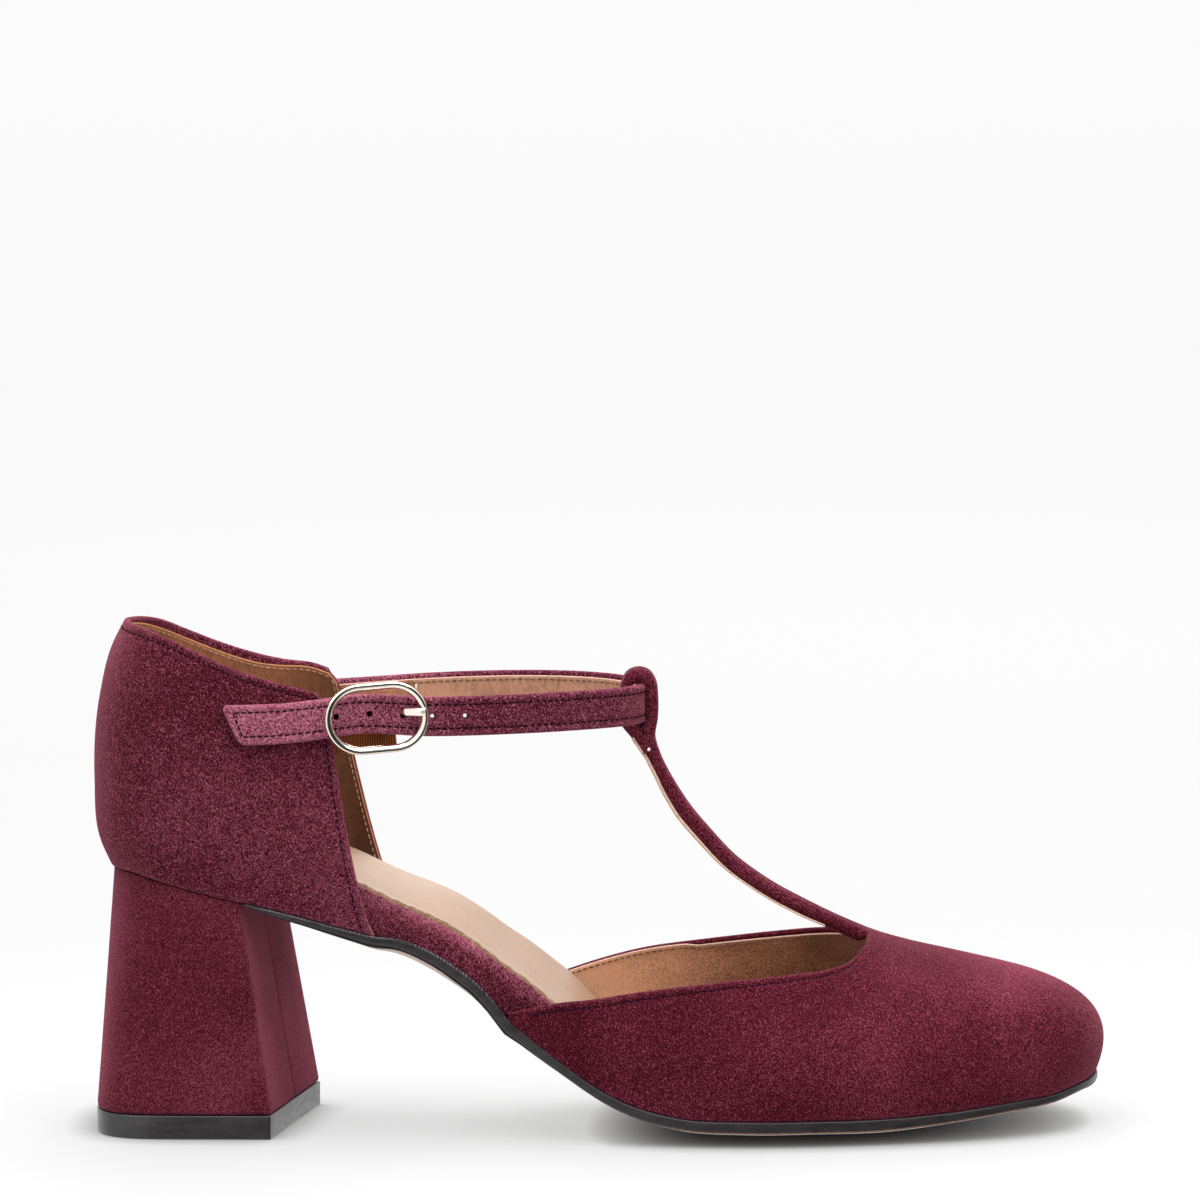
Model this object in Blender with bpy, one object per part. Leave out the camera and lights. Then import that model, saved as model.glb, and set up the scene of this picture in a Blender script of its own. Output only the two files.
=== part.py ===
"""T-strap pump for the right foot: hollow vamp with a looped T-bar, heel counter, buckled ankle strap,
padded footbed, thin sole and a flared block heel.

Sizes are in millimetres and become metres where a mesh is made. X runs from heel to toe, +Y is the inner
side of the foot, Z is up and the floor is z = 0."""

import math

import bmesh
import bpy
import numpy as np

for old in list(bpy.data.objects):
    bpy.data.objects.remove(old, do_unlink=True)

MM = 0.001
SHARP_ANGLE = math.radians(40.0)
# Moves the shoe so that the origin is under the middle of its box
SHIFT = np.array([-0.2, -2.1, 0.0])

# Thicknesses and gaps
GAP = 0.3
WALL = 2.0
BAR_THICK = 3.2
LOOP_THICK = 2.3
STRAP_THICK = 2.2
WRAP_THICK = 1.0
ELASTIC_THICK = 0.9

# Sole, footbed and waist
BACK_TIP = (-115.6, -0.4)
TOE_TIP = (118.0, 4.0)
SOLE_EDGE = 0.5
FLAT_SHARE = 0.2
EDGE_THINNING = 0.16
BED_DISH = 0.35
BED_ROUND = 1.0
WAIST_STEP = 0.9
STEP_RANGE = (-56.0, -49.0, -26.0, -19.0)
WAIST_OPEN = (-48.0, -41.5, -28.5, -22.0)
WRAP_RANGE = (-64.0, -4.0)
WRAP_OPEN_INSET = 0.9

# Rows of the sole and the footbed, closer together at the arch
STATIONS = (-91, -86, -80, -74, -68, -63, *range(-58, 18, 4), 22, 30, 40, 52, 64, 76, 86, 94)

# Pivots that the rows fan round at the toe and at the heel
TOE_PIVOT = (94.0, 4.0)
HEEL_PIVOT = (-91.0, -0.8)

# Vamp and T-bar
VAMP_REAR = {"lateral": -21.4, "medial": -18.0}
THROAT_X = 63.5
BAR_WIDTH = 9.0
BAR_CROWN = 0.35
BAR_LEAVES_X = 21.4
TOE_SHAPE = {"bulge": 8.0, "rise": 0.64, "crest": 0.66}

# Quarter
QUARTER_EDGE = {"lateral": (-52.6, -62.4), "medial": (-48.8, -62.7)}
EDGE_BEND = 0.62

# Heel block
HEEL_INSET = 0.6
BREAST_TOP = {"lateral": -83.8, "medial": -76.2}
BREAST_FOOT = {"lateral": (-77.1, -25.8), "medial": (-67.5, 21.6)}
HEEL_FOOT_MID = (-92.0, -1.4)
HEEL_FOOT_BACK = 26.9
HEEL_FOOT_HALF = 24.2
HEEL_FOOT_POWER = 4.0
TIP_THICK = 5.6

# Ankle strap, with its slanted free end on the outer side
STRAP_WIDTH = 9.3
STRAP_TIP_SLANT = 6.0
HOLE_RANGE = (-48.0, -44.0)
HOLE_HALF = 1.3

# Buckle
BUCKLE_X = -51.8
BUCKLE_Z = 100.0
BUCKLE_LONG = 24.0
BUCKLE_TALL = 17.0
BUCKLE_TILT = math.radians(5.0)
WIRE_RADIUS = 0.9
BAR_ALONG = 0.6
BAR_RADIUS = 0.8
BAR_BEND = 1.2
PRONG_RADIUS = 0.55
PRONG_UP = -0.5
PRONG_SLOT_HALF = 1.1
ELASTIC_WIDTH = 11.0
ELASTIC_CLEAR = 0.65


def table(columns, rows):
    """A table as a dictionary of its columns."""
    return dict(zip(columns.split(), np.array(rows, float).T))


# Plan edges, feather height on the outer side, rise to the inner side, sag of the middle, sole and footbed
SECTIONS = table(
    "x lateral medial height tilt crown sole bed",
    [
        (-112, -12.8, 12.0, 62.0, 0.0, 1.0, 1.8, 7.0),
        (-104, -20.6, 19.2, 60.4, 0.0, 1.2, 1.8, 7.4),
        (-92, -25.0, 23.4, 57.7, 0.0, 1.5, 1.8, 8.0),
        (-76, -27.0, 23.0, 54.3, 0.6, 2.0, 1.7, 9.0),
        (-58, -27.0, 20.8, 49.3, 1.5, 3.2, 1.7, 9.6),
        (-40, -26.8, 19.4, 42.6, 2.0, 4.0, 1.8, 8.8),
        (-22, -28.5, 21.0, 29.0, 2.4, 3.6, 2.0, 9.2),
        (-10, -30.8, 24.2, 19.6, 2.4, 2.8, 2.2, 9.4),
        (4, -33.6, 29.4, 10.8, 1.4, 2.7, 2.5, 8.4),
        (18, -35.6, 34.4, 6.8, 0.5, 2.9, 3.0, 7.0),
        (34, -36.5, 38.8, 6.0, 0.0, 3.2, 3.2, 6.2),
        (50, -35.6, 40.6, 6.0, 0.0, 3.2, 3.2, 5.8),
        (66, -33.0, 39.8, 6.1, 0.0, 3.2, 3.2, 5.5),
        (82, -29.2, 37.0, 7.0, 0.0, 2.7, 2.7, 5.2),
        (96, -24.2, 32.0, 8.4, 0.0, 2.2, 2.4, 5.0),
        (108, -16.8, 24.6, 10.2, 0.0, 1.2, 2.1, 4.6),
        (115, -8.6, 16.6, 12.2, 0.0, 0.5, 2.0, 4.4),
    ],
)

# Instep line: height of the outer face and its sideways place
RIDGE = table(
    "x height across",
    [
        (-30, 100.0, 1.0),
        (-5, 95.0, 1.0),
        (10, 88.0, 1.0),
        (21.4, 75.6, 1.4),
        (30.9, 64.6, 1.8),
        (40.4, 57.4, 2.2),
        (50, 52.1, 2.6),
        (59, 47.7, 3.0),
        (64.3, 45.4, 3.2),
        (73.8, 42.5, 3.5),
        (83.4, 40.3, 3.8),
        (94, 37.9, 4.0),
    ],
)

# How far the vamp swells past the feather, how high it stays upright and how broad its crest is
VAMP_SHAPE = table(
    "x bulge rise crest",
    [
        (-22, 2.0, 0.45, 0.42),
        (30, 2.6, 0.50, 0.42),
        (64, 3.2, 0.56, 0.52),
        (94, 3.4, 0.62, 0.62),
    ],
)

# Edge of the vamp at the open sides
THROAT = table(
    "x lateral medial",
    [
        (-22, 30.2, 28.6),
        (-11, 33.0, 31.6),
        (-2, 34.2, 33.9),
        (8, 35.9, 36.3),
        (26, 38.0, 39.2),
        (44, 39.2, 41.4),
        (54, 40.0, 42.6),
        (59, 41.3, 43.3),
        (62, 43.2, 44.2),
        (63.5, 44.5, 44.7),
    ],
)

# Side view of the T-bar's outer face above the instep: up the front, over the strap and down behind it
LOOP = table(
    "x z",
    [
        (16.6, 83.2),
        (14.3, 88.0),
        (13.1, 92.4),
        (13.7, 97.0),
        (13.8, 101.4),
        (13.3, 105.3),
        (11.7, 107.7),
        (9.3, 108.5),
        (6.7, 107.7),
        (5.1, 105.3),
        (4.9, 101.0),
        (5.1, 97.0),
        (6.1, 93.6),
        (8.5, 89.3),
    ],
)

# Swell of the quarter past the feather by share of its height, at the back and at the sides
SWELL = table(
    "x back side",
    [
        (0.0, 0.0, 0.0),
        (0.1, 2.6, 1.2),
        (0.35, 4.0, 2.4),
        (0.7, 2.5, 0.9),
        (0.9, -0.6, -1.0),
        (1.0, -3.6, -2.0),
    ],
)

TOPLINE = table(
    "x lateral medial",
    [
        (-112, 120.4, 120.4),
        (-105, 118.9, 118.9),
        (-99, 116.6, 116.6),
        (-92, 113.6, 113.4),
        (-84, 110.3, 110.2),
        (-76, 107.8, 108.4),
        (-68, 105.8, 107.4),
        (-62, 104.3, 105.2),
    ],
)

# Middle line of the strap over the quarter: its free end on the outer side and its sewn end on the inner
STRAP_END = {
    "lateral": table("x z", [(-85.2, 97.9), (-74.0, 98.4), (-66.0, 99.2)]),
    "medial": table("x z", [(-68.0, 98.2), (-77.0, 97.7)]),
}

# Middle line of the elastic tab behind the quarter
ELASTIC_END = table("x z", [(-73.0, 96.2), (-68.0, 96.6), (-62.8, 97.4)])

# Middle line of the strap where it is clear of the quarter, from the outer side round the front
STRAP_FREE = table(
    "x y z",
    [
        (-54, -28.0, 99.7),
        (-40, -27.2, 99.9),
        (-22, -24.3, 100.1),
        (-6, -18.6, 100.3),
        (4.2, -11.5, 100.3),
        (9.0, -4.6, 100.2),
        (9.7, 1.0, 100.1),
        (9.0, 6.6, 100.3),
        (4.2, 13.5, 100.6),
        (-6, 19.2, 100.8),
        (-22, 23.6, 100.5),
        (-40, 24.8, 99.8),
        (-54, 23.8, 99.0),
    ],
)

MATERIALS = table(
    "red green blue rough metal",
    [
        (0.15, 0.025, 0.05, 0.95, 0.0),
        (0.60, 0.40, 0.25, 0.6, 0.0),
        (0.04, 0.037, 0.04, 0.5, 0.0),
        (0.83, 0.68, 0.42, 0.2, 1.0),
        (0.25, 0.11, 0.05, 0.9, 0.0),
    ],
)
SUEDE, FOOTBED, SOLE_BLACK, GOLD, ELASTIC_BROWN = range(5)


def smooth(rows, column, x):
    """Cubic curve through one column of a table, straight beyond its ends."""
    knots = rows["x"]
    values = rows[column]
    slopes = np.gradient(values, knots)
    beyond = np.minimum(0, x - knots[0]) * slopes[0] + np.maximum(0, x - knots[-1]) * slopes[-1]
    x = np.clip(x, knots[0], knots[-1])
    i = np.clip(np.searchsorted(knots, x, side="right") - 1, 0, len(knots) - 2)
    width = knots[i + 1] - knots[i]
    t = (x - knots[i]) / width
    start = values[i] * (1 + 2 * t) + slopes[i] * width * t
    end = values[i + 1] * (3 - 2 * t) + slopes[i + 1] * width * (t - 1)
    return start * (1 - t) ** 2 + end * t**2 + beyond


def ramp(low, high, x):
    """Smooth step from 0 at low to 1 at high."""
    t = np.clip((x - low) / (high - low), 0, 1)
    return t * t * (3 - 2 * t)


def spline(points, per_span, closed=False):
    """Curve through the points that doesn't overshoot where they are unevenly spaced."""
    points = np.array(points, float)
    if closed:
        points = np.concatenate([points[-1:], points, points[:2]])
    else:
        first = 2 * points[0] - points[1]
        last = 2 * points[-1] - points[-2]
        points = np.concatenate([[first], points, [last]])
    made = []
    for p0, p1, p2, p3 in zip(points, points[1:], points[2:], points[3:]):
        a = np.linalg.norm(p1 - p0) ** 0.5
        b = np.linalg.norm(p2 - p1) ** 0.5
        c = np.linalg.norm(p3 - p2) ** 0.5
        enter = (p1 - p0) / a - (p2 - p0) / (a + b) + (p2 - p1) / b
        leave = (p2 - p1) / b - (p3 - p1) / (b + c) + (p3 - p2) / c
        for t in np.arange(per_span) / per_span:
            start = p1 * (1 + 2 * t) + enter * b * t
            end = p2 * (3 - 2 * t) + leave * b * (t - 1)
            made.append(start * (1 - t) ** 2 + end * t**2)
    if not closed:
        made.append(points[-2])
    return np.array(made)


class Plan:
    """An outline seen from above, from the back tip along the outer side to the toe and back along the inner."""

    def __init__(self, points):
        self.points = points
        toe = int(points[:, 0].argmax())
        self.outer = points[: toe + 1]
        self.inner = np.concatenate([points[toe:], points[:1]])[::-1]

    def side(self, name, x):
        line = self.outer if name == "lateral" else self.inner
        return np.interp(x, line[:, 0], line[:, 1])

    def inset(self, amount):
        """The same outline, moved inwards by an amount that may depend on x."""
        along = np.roll(self.points, -1, axis=0) - np.roll(self.points, 1, axis=0)
        along /= np.linalg.norm(along, axis=1)[:, None]
        inward = np.stack([-along[:, 1], along[:, 0]], axis=1)
        distance = amount(self.points[:, 0]) if callable(amount) else np.full(len(along), amount)
        return Plan(self.points + inward * distance[:, None])

    def fan(self, pivot, ahead, angles):
        """Points of the outline in directions from a pivot, turning from the outer side to the inner."""
        away = self.points - pivot
        away = away[away[:, 0] * ahead > -8]
        turn = np.arctan2(away[:, 1], away[:, 0] * ahead)
        order = turn.argsort()
        reach = np.interp(angles, turn[order], np.linalg.norm(away, axis=1)[order])
        out = np.stack([np.cos(angles) * ahead, np.sin(angles)], axis=1)
        return np.array(pivot) + out * reach[:, None], out


def feather_plan():
    outer = list(zip(SECTIONS["x"], SECTIONS["lateral"]))
    inner = list(zip(SECTIONS["x"], SECTIONS["medial"]))
    return Plan(spline([BACK_TIP, *outer, TOE_TIP, *inner[::-1]], 14, closed=True))


FEATHER = feather_plan()


def between(limits, x):
    """Smooth rise from 0 to 1 between the first two limits and fall between the last two."""
    return ramp(limits[0], limits[1], x) - ramp(limits[2], limits[3], x)


def edge_height(x):
    return smooth(SECTIONS, "height", x) + WAIST_STEP * between(STEP_RANGE, x)


def steepness(x):
    """How much longer a vertical measure is than one square to the sole."""
    slope = (edge_height(x + 1) - edge_height(x - 1)) / 2
    return np.sqrt(1 + slope**2)


def across(x, y):
    """Sideways place on the sole, -1 at the outer edge and 1 at the inner."""
    outer = smooth(SECTIONS, "lateral", x)
    inner = smooth(SECTIONS, "medial", x)
    half = np.maximum((inner - outer) / 2, 14)
    return np.clip((y - (inner + outer) / 2) / half, -1.05, 1.05)


def near_edge(x, y):
    """0 on the middle of the sole, rising to 1 at its edges."""
    return np.maximum(0, (np.abs(across(x, y)) - FLAT_SHARE) / (1 - FLAT_SHARE)) ** 2


def dished(x, y, base, dish):
    tilt = smooth(SECTIONS, "tilt", x) * (across(x, y) + 1) / 2
    return base + tilt - dish * smooth(SECTIONS, "crown", x) * (1 - near_edge(x, y))


def sole_top(x, y):
    return dished(x, y, edge_height(x), 1.0)


def sole_bottom(x, y):
    thick = smooth(SECTIONS, "sole", x) * (1 - EDGE_THINNING * near_edge(x, y))
    return np.maximum(0, sole_top(x, y) - thick * steepness(x))


def bed_top(x, y):
    return dished(x, y, edge_height(x) + GAP + smooth(SECTIONS, "bed", x) * steepness(x), BED_DISH)


def bed_bottom(x, y):
    return sole_top(x, y) + 1.5 * GAP


def wrap_inset(x):
    covered = WALL + GAP
    return covered + (WRAP_OPEN_INSET - covered) * between(WAIST_OPEN, x)


def bed_inset(x):
    start, end = WRAP_RANGE
    beside = between((start - 9, start - 2, end + 2, end + 9), x)
    return WALL + GAP + (wrap_inset(x) + WRAP_THICK - WALL) * beside


def quads(rows, columns, first=0, skip=()):
    """Faces of a grid of points, without those in skip."""
    made = []
    for i in range(rows - 1):
        for j in range(columns - 1):
            if (i, j) in skip:
                continue
            a = first + i * columns + j
            made.append((a, a + 1, a + 1 + columns, a + columns))
    return made


class Sheet:
    """A surface put together from grids that share the points where they meet."""

    def __init__(self):
        self.points = []
        self.faces = []
        self.thick = []

    def grid(self, points, thick, skip=()):
        points = np.asarray(points, float)
        rows, columns = points.shape[:2]
        self.faces += quads(rows, columns, len(self.points), skip)
        self.points += list(points.reshape(-1, 3))
        self.thick += list(np.broadcast_to(thick, (rows, columns)).reshape(-1))

    def welded(self):
        keys = np.round(np.array(self.points) / 1e-3).astype(int)
        _, first, index = np.unique(keys, axis=0, return_index=True, return_inverse=True)
        index = index.reshape(-1)
        faces = []
        for face in self.faces:
            corners = list(dict.fromkeys(int(index[k]) for k in face))
            if len(corners) > 2:
                faces.append(corners)
        return np.array(self.points)[first], faces, np.array(self.thick)[first]


def point_normals(points, faces):
    normals = np.zeros_like(points)
    for face in faces:
        a = points[face]
        normal = np.zeros(3)
        for i in range(len(face)):
            normal += np.cross(a[i - 1], a[i])
        normals[face] += normal
    return normals / np.linalg.norm(normals, axis=1)[:, None]


def shell(front, back, faces):
    """A closed body between two surfaces that have the same faces."""
    count = len(front)
    edges = {}
    for face in faces:
        for a, b in zip(face, face[1:] + face[:1]):
            edges[(a, b)] = edges.get((a, b), 0) + 1
    made = [tuple(face) for face in faces]
    made += [tuple(k + count for k in reversed(face)) for face in faces]
    for a, b in edges:
        if (b, a) not in edges:
            made.append((b, a, a + count, b + count))
    return np.concatenate([front, back]), made


def material(index):
    name = ("suede", "footbed", "sole_black", "gold", "elastic")[index]
    found = bpy.data.materials.get(name)
    if found:
        return found
    made = bpy.data.materials.new(name)
    made.use_nodes = True
    shader = made.node_tree.nodes["Principled BSDF"]
    colour = [float(MATERIALS[part][index]) for part in ("red", "green", "blue")]
    shader.inputs["Base Color"].default_value = (*colour, 1)
    shader.inputs["Roughness"].default_value = float(MATERIALS["rough"][index])
    shader.inputs["Metallic"].default_value = float(MATERIALS["metal"][index])
    return made


def add_body(name, points, faces, surface):
    mesh = bpy.data.meshes.new(name)
    mesh.from_pydata(((np.asarray(points) + SHIFT) * MM).tolist(), [], [list(face) for face in faces])
    work = bmesh.new()
    work.from_mesh(mesh)
    bmesh.ops.recalc_face_normals(work, faces=work.faces)
    work.to_mesh(mesh)
    work.free()
    mesh.shade_smooth()
    mesh.set_sharp_from_angle(angle=SHARP_ANGLE)
    body = bpy.data.objects.new(name, mesh)
    own = material(surface).copy()
    own.name = name
    mesh.materials.append(own)
    bpy.context.collection.objects.link(body)
    return body


def join(body, other):
    """Makes other part of body."""
    union = body.modifiers.new("join", "BOOLEAN")
    union.operation = "UNION"
    union.solver = "EXACT"
    union.object = other
    other.hide_render = True
    other.display_type = "WIRE"


def rows_round_toe(plan, starts, spacing, fan_count):
    """Edge points, middle points and outward directions from the outer side round the toe to the inner."""
    feet = []
    outs = []
    for name, sign in (("lateral", -1), ("medial", 1)):
        x = starts[name] + (TOE_PIVOT[0] - starts[name]) * spacing
        y = plan.side(name, x)
        feet.append(np.stack([x, y], axis=1))
        outs.append(np.tile([0.0, sign], (len(x), 1)))
    middle_x = (feet[0][:, 0] + feet[1][:, 0]) / 2
    outer = smooth(SECTIONS, "lateral", middle_x)
    inner = smooth(SECTIONS, "medial", middle_x)
    lead = ramp(40, TOE_PIVOT[0], middle_x)
    middle_y = (outer + inner) / 2 * (1 - lead) + TOE_PIVOT[1] * lead
    spine = np.stack([middle_x, middle_y], axis=1)
    angles = np.linspace(-math.pi / 2, math.pi / 2, fan_count + 2)[1:-1]
    front, front_out = plan.fan(TOE_PIVOT, 1, angles)
    feet = np.concatenate([feet[0], front, feet[1][::-1]])
    outs = np.concatenate([outs[0], front_out, outs[1][::-1]])
    middles = np.concatenate([spine, np.tile(spine[-1], (fan_count, 1)), spine[::-1]])
    return feet, middles, outs


def slab(name, feet, middles, shares, top, bottom, drop, surface):
    """A body lofted over rows that run from the edge to the middle line."""
    plan = feet[:, None] + (middles - feet)[:, None] * shares[None, :, None]
    x = plan[..., 0]
    y = plan[..., 1]
    upper = np.stack([x, y, top(x, y)], axis=2)
    upper[:, 0, 2] -= drop
    sheet = Sheet()
    sheet.grid(upper, 0)
    points, faces, _ = sheet.welded()
    lower = points.copy()
    lower[:, 2] = bottom(points[:, 0], points[:, 1])
    return add_body(name, *shell(points, lower, faces), surface)


def shares_of(stations):
    """The stations as shares of the way from the first to the last."""
    stations = np.array(stations, float)
    return (stations - stations[0]) / (stations[-1] - stations[0])


def outsole():
    starts = {name: x + 3 * GAP for name, x in BREAST_TOP.items()}
    feet, middles, _ = rows_round_toe(FEATHER.inset(-SOLE_EDGE), starts, shares_of(STATIONS[3:]), 11)
    shares = np.array([0, 0.14, 0.31, 0.58, 1])
    slab("outsole", feet, middles, shares, sole_top, sole_bottom, 0, SOLE_BLACK)


def insole():
    plan = FEATHER.inset(bed_inset)
    starts = {"lateral": HEEL_PIVOT[0], "medial": HEEL_PIVOT[0]}
    feet, middles, _ = rows_round_toe(plan, starts, shares_of(STATIONS), 11)
    angles = np.linspace(math.pi / 2, -math.pi / 2, 13)[1:-1]
    back, _ = plan.fan(HEEL_PIVOT, -1, angles)
    feet = np.concatenate([feet, back, feet[:1]])
    middles = np.concatenate([middles, np.tile(middles[-1], (len(back), 1)), middles[:1]])
    shares = np.array([0, 0.07, 0.26, 0.56, 1])
    slab("insole", feet, middles, shares, bed_top, bed_bottom, BED_ROUND, FOOTBED)


def vamp_meridian(foot, middle, out, t):
    """Curve of the vamp's outer face from the feather (t = 0) to the instep line (t = 1)."""
    x = middle[0]
    front = max(0.0, out[0]) ** 2
    shape = {}
    for name, toe in TOE_SHAPE.items():
        side = smooth(VAMP_SHAPE, name, x)
        shape[name] = side + (toe - side) * front
    low = sole_top(foot[0], foot[1]) + GAP
    high = smooth(RIDGE, "height", x)
    fall = (high - smooth(RIDGE, "height", x - 1)) * out[0]
    reach = np.linalg.norm(foot - middle) * shape["crest"]
    p0 = np.array([*foot, low])
    p1 = np.array([*(foot + out * shape["bulge"]), low + shape["rise"] * (high - low)])
    p2 = np.array([*(middle + out * reach), high + fall * reach])
    p3 = np.array([*middle, high])
    t = np.asarray(t)[:, None]
    return p0 * (1 - t) ** 3 + 3 * p1 * t * (1 - t) ** 2 + 3 * p2 * t * t * (1 - t) + p3 * t**3


def side_meridian(name, x, t):
    foot = np.array([x, FEATHER.side(name, x)])
    middle = np.array([x, smooth(RIDGE, "across", x)])
    return vamp_meridian(foot, middle, np.array([0.0, -1.0 if name == "lateral" else 1.0]), t)


def share_at_height(name, x, height):
    t = np.linspace(0, 1, 200)
    return np.interp(height, side_meridian(name, x, t)[:, 2], t)


def share_at_bar(name, x):
    t = np.linspace(0.5, 1, 200)
    away = np.abs(side_meridian(name, x, t)[:, 1] - smooth(RIDGE, "across", x))
    return np.interp(-BAR_WIDTH / 2, -away, t)


def vamp():
    sheet = Sheet()
    wall_count = 6
    front_xs = np.linspace(THROAT_X, TOE_PIVOT[0], 7)
    columns = {}
    for name, rear in VAMP_REAR.items():
        spacing = np.linspace(0, 1, 17)
        spacing = 1 - (1 - spacing) ** 1.25
        wall = []
        for x in rear + (THROAT_X - rear) * spacing:
            top = share_at_height(name, x, smooth(THROAT, name, x))
            wall.append(side_meridian(name, x, top * np.linspace(0, 1, wall_count + 1)))
        sheet.grid(wall, WALL)
        bar = share_at_bar(name, THROAT_X)
        columns[name] = np.concatenate([top * np.linspace(0, 1, wall_count + 1), [bar, (1 + bar) / 2, 1]])
        sheet.grid([side_meridian(name, x, columns[name]) for x in front_xs], WALL)

    fan_count = 13
    angles = np.linspace(-math.pi / 2, math.pi / 2, fan_count + 2)
    feet, outs = FEATHER.fan(TOE_PIVOT, 1, angles)
    fan = []
    for foot, out, share in zip(feet, outs, np.linspace(0, 1, fan_count + 2)):
        t = columns["lateral"] * (1 - share) + columns["medial"] * share
        fan.append(vamp_meridian(foot, np.array(TOE_PIVOT), out, t))
    fan[0] = side_meridian("lateral", TOE_PIVOT[0], columns["lateral"])
    fan[-1] = side_meridian("medial", TOE_PIVOT[0], columns["medial"])
    sheet.grid(fan, WALL)

    base = np.concatenate(
        [
            side_meridian("lateral", THROAT_X, columns["lateral"][-3:]),
            side_meridian("medial", THROAT_X, columns["medial"][-3:-1])[::-1],
        ]
    )
    rows = [base]
    xs = np.linspace(THROAT_X, BAR_LEAVES_X, 11)[1:]
    side_view = [(x, smooth(RIDGE, "height", x)) for x in xs] + list(zip(LOOP["x"], LOOP["z"]))
    fine = spline(side_view, 2)
    start = len(xs) - 1
    side_view = np.concatenate([fine[: 2 * start : 2], fine[2 * start :]])
    places = np.array([-1, -0.5, 0, 0.5, 1])
    for x, z in side_view:
        row = np.zeros((5, 3))
        row[:, 0] = x
        row[:, 1] = smooth(RIDGE, "across", x) + places * BAR_WIDTH / 2
        row[:, 2] = z - BAR_CROWN * places**2
        rows.append(row)
    rows = np.array(rows)
    order = np.arange(len(rows))
    thick = WALL + (BAR_THICK - WALL) * ramp(0, 4, order)
    thick += (LOOP_THICK - BAR_THICK) * ramp(start - 2, start + 4, order)
    sheet.grid(rows, thick[:, None])

    points, faces, thick = sheet.welded()
    faces = outward(points, faces)
    inner = points - point_normals(points, faces) * thick[:, None]
    stand(points, inner)
    add_body("vamp", *shell(points, inner, faces), SUEDE)


def outward(points, faces):
    """The same faces, all turned the same way, with the first side facing out of the shoe."""
    work = bmesh.new()
    for point in points:
        work.verts.new(point)
    work.verts.ensure_lookup_table()
    for face in faces:
        work.faces.new([work.verts[k] for k in face])
    work.verts.index_update()
    bmesh.ops.recalc_face_normals(work, faces=work.faces)
    made = [[vert.index for vert in face.verts] for face in work.faces]
    work.free()
    normals = point_normals(points, made)
    low = points[:, 2] < np.median(points[:, 2])
    outer = low & (points[:, 1] < points[low][:, 1].mean())
    if normals[outer][:, 1].sum() > 0:
        made = [face[::-1] for face in made]
    return made


def stand(points, inner):
    """Lowers or lifts the inner face's bottom edge to the same gap above the sole as the outer's."""
    above = points[:, 2] - sole_top(points[:, 0], points[:, 1])
    foot = above < GAP + 1e-3
    inner[foot, 2] = sole_top(inner[foot, 0], inner[foot, 1]) + GAP


def quarter_swell(share, back):
    side = smooth(SWELL, "side", share)
    return side + (smooth(SWELL, "back", share) - side) * back


def quarter_face(name, x, z):
    """Sideways place of the quarter's outer face on its straight sides."""
    foot = FEATHER.side(name, x)
    low = sole_top(x, foot) + GAP
    share = np.clip((z - low) / (smooth(TOPLINE, name, x) - low), 0, 1)
    return foot + (-1 if name == "lateral" else 1) * quarter_swell(share, 0.0)


def quarter():
    levels = np.array([0, 0.06, 0.16, 0.3, 0.46, 0.62, 0.77, 0.9, 1])
    rows = []
    side_rows = {}
    for name, (low_x, high_x) in QUARTER_EDGE.items():
        edge = low_x + (high_x - low_x) * levels**EDGE_BEND
        side_rows[name] = []
        for share in np.linspace(0, 1, 9):
            x = edge + (HEEL_PIVOT[0] - edge) * share
            foot = FEATHER.side(name, x)
            low = sole_top(x, foot) + GAP
            high = smooth(TOPLINE, name, x)
            sign = -1 if name == "lateral" else 1
            y = foot + sign * quarter_swell(levels, 0.0)
            side_rows[name].append(np.stack([x, y, low + (high - low) * levels], axis=1))
    rows += side_rows["lateral"]
    angles = np.linspace(-math.pi / 2, math.pi / 2, 19)[1:-1]
    feet, outs = FEATHER.fan(HEEL_PIVOT, -1, angles)
    for foot, out in zip(feet, outs):
        swell = quarter_swell(levels, out[0] ** 2)
        plan = foot + out * swell[:, None]
        low = sole_top(foot[0], foot[1]) + GAP
        high = smooth(TOPLINE, "lateral" if out[1] < 0 else "medial", plan[-1, 0])
        rows.append(np.concatenate([plan, (low + (high - low) * levels)[:, None]], axis=1))
    rows += side_rows["medial"][::-1]
    sheet = Sheet()
    sheet.grid(rows, WALL)
    points, faces, thick = sheet.welded()
    faces = outward(points, faces)
    inner = points - point_normals(points, faces) * thick[:, None]
    stand(points, inner)
    add_body("quarter", *shell(points, inner, faces), SUEDE)


def waist_wraps():
    for name, label in (("lateral", "waist_wrap_outer"), ("medial", "waist_wrap_inner")):
        x = np.linspace(*WRAP_RANGE, 25)
        outer = FEATHER.inset(wrap_inset).side(name, x)
        inner = FEATHER.inset(lambda x: wrap_inset(x) + WRAP_THICK).side(name, x)
        bed = FEATHER.inset(bed_inset).side(name, x)
        levels = np.linspace(0, 1, 4)
        faces = []
        for y in (outer, inner):
            low = sole_top(x, y) + GAP
            high = bed_top(x, bed) - BED_ROUND
            z = low[:, None] + (high - low)[:, None] * levels
            grid = np.stack([np.tile(x[:, None], 4), np.tile(y[:, None], 4), z], axis=2)
            faces.append(grid.reshape(-1, 3))
        add_body(label, *shell(faces[0], faces[1], [list(f) for f in quads(len(x), 4)]), SUEDE)


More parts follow.
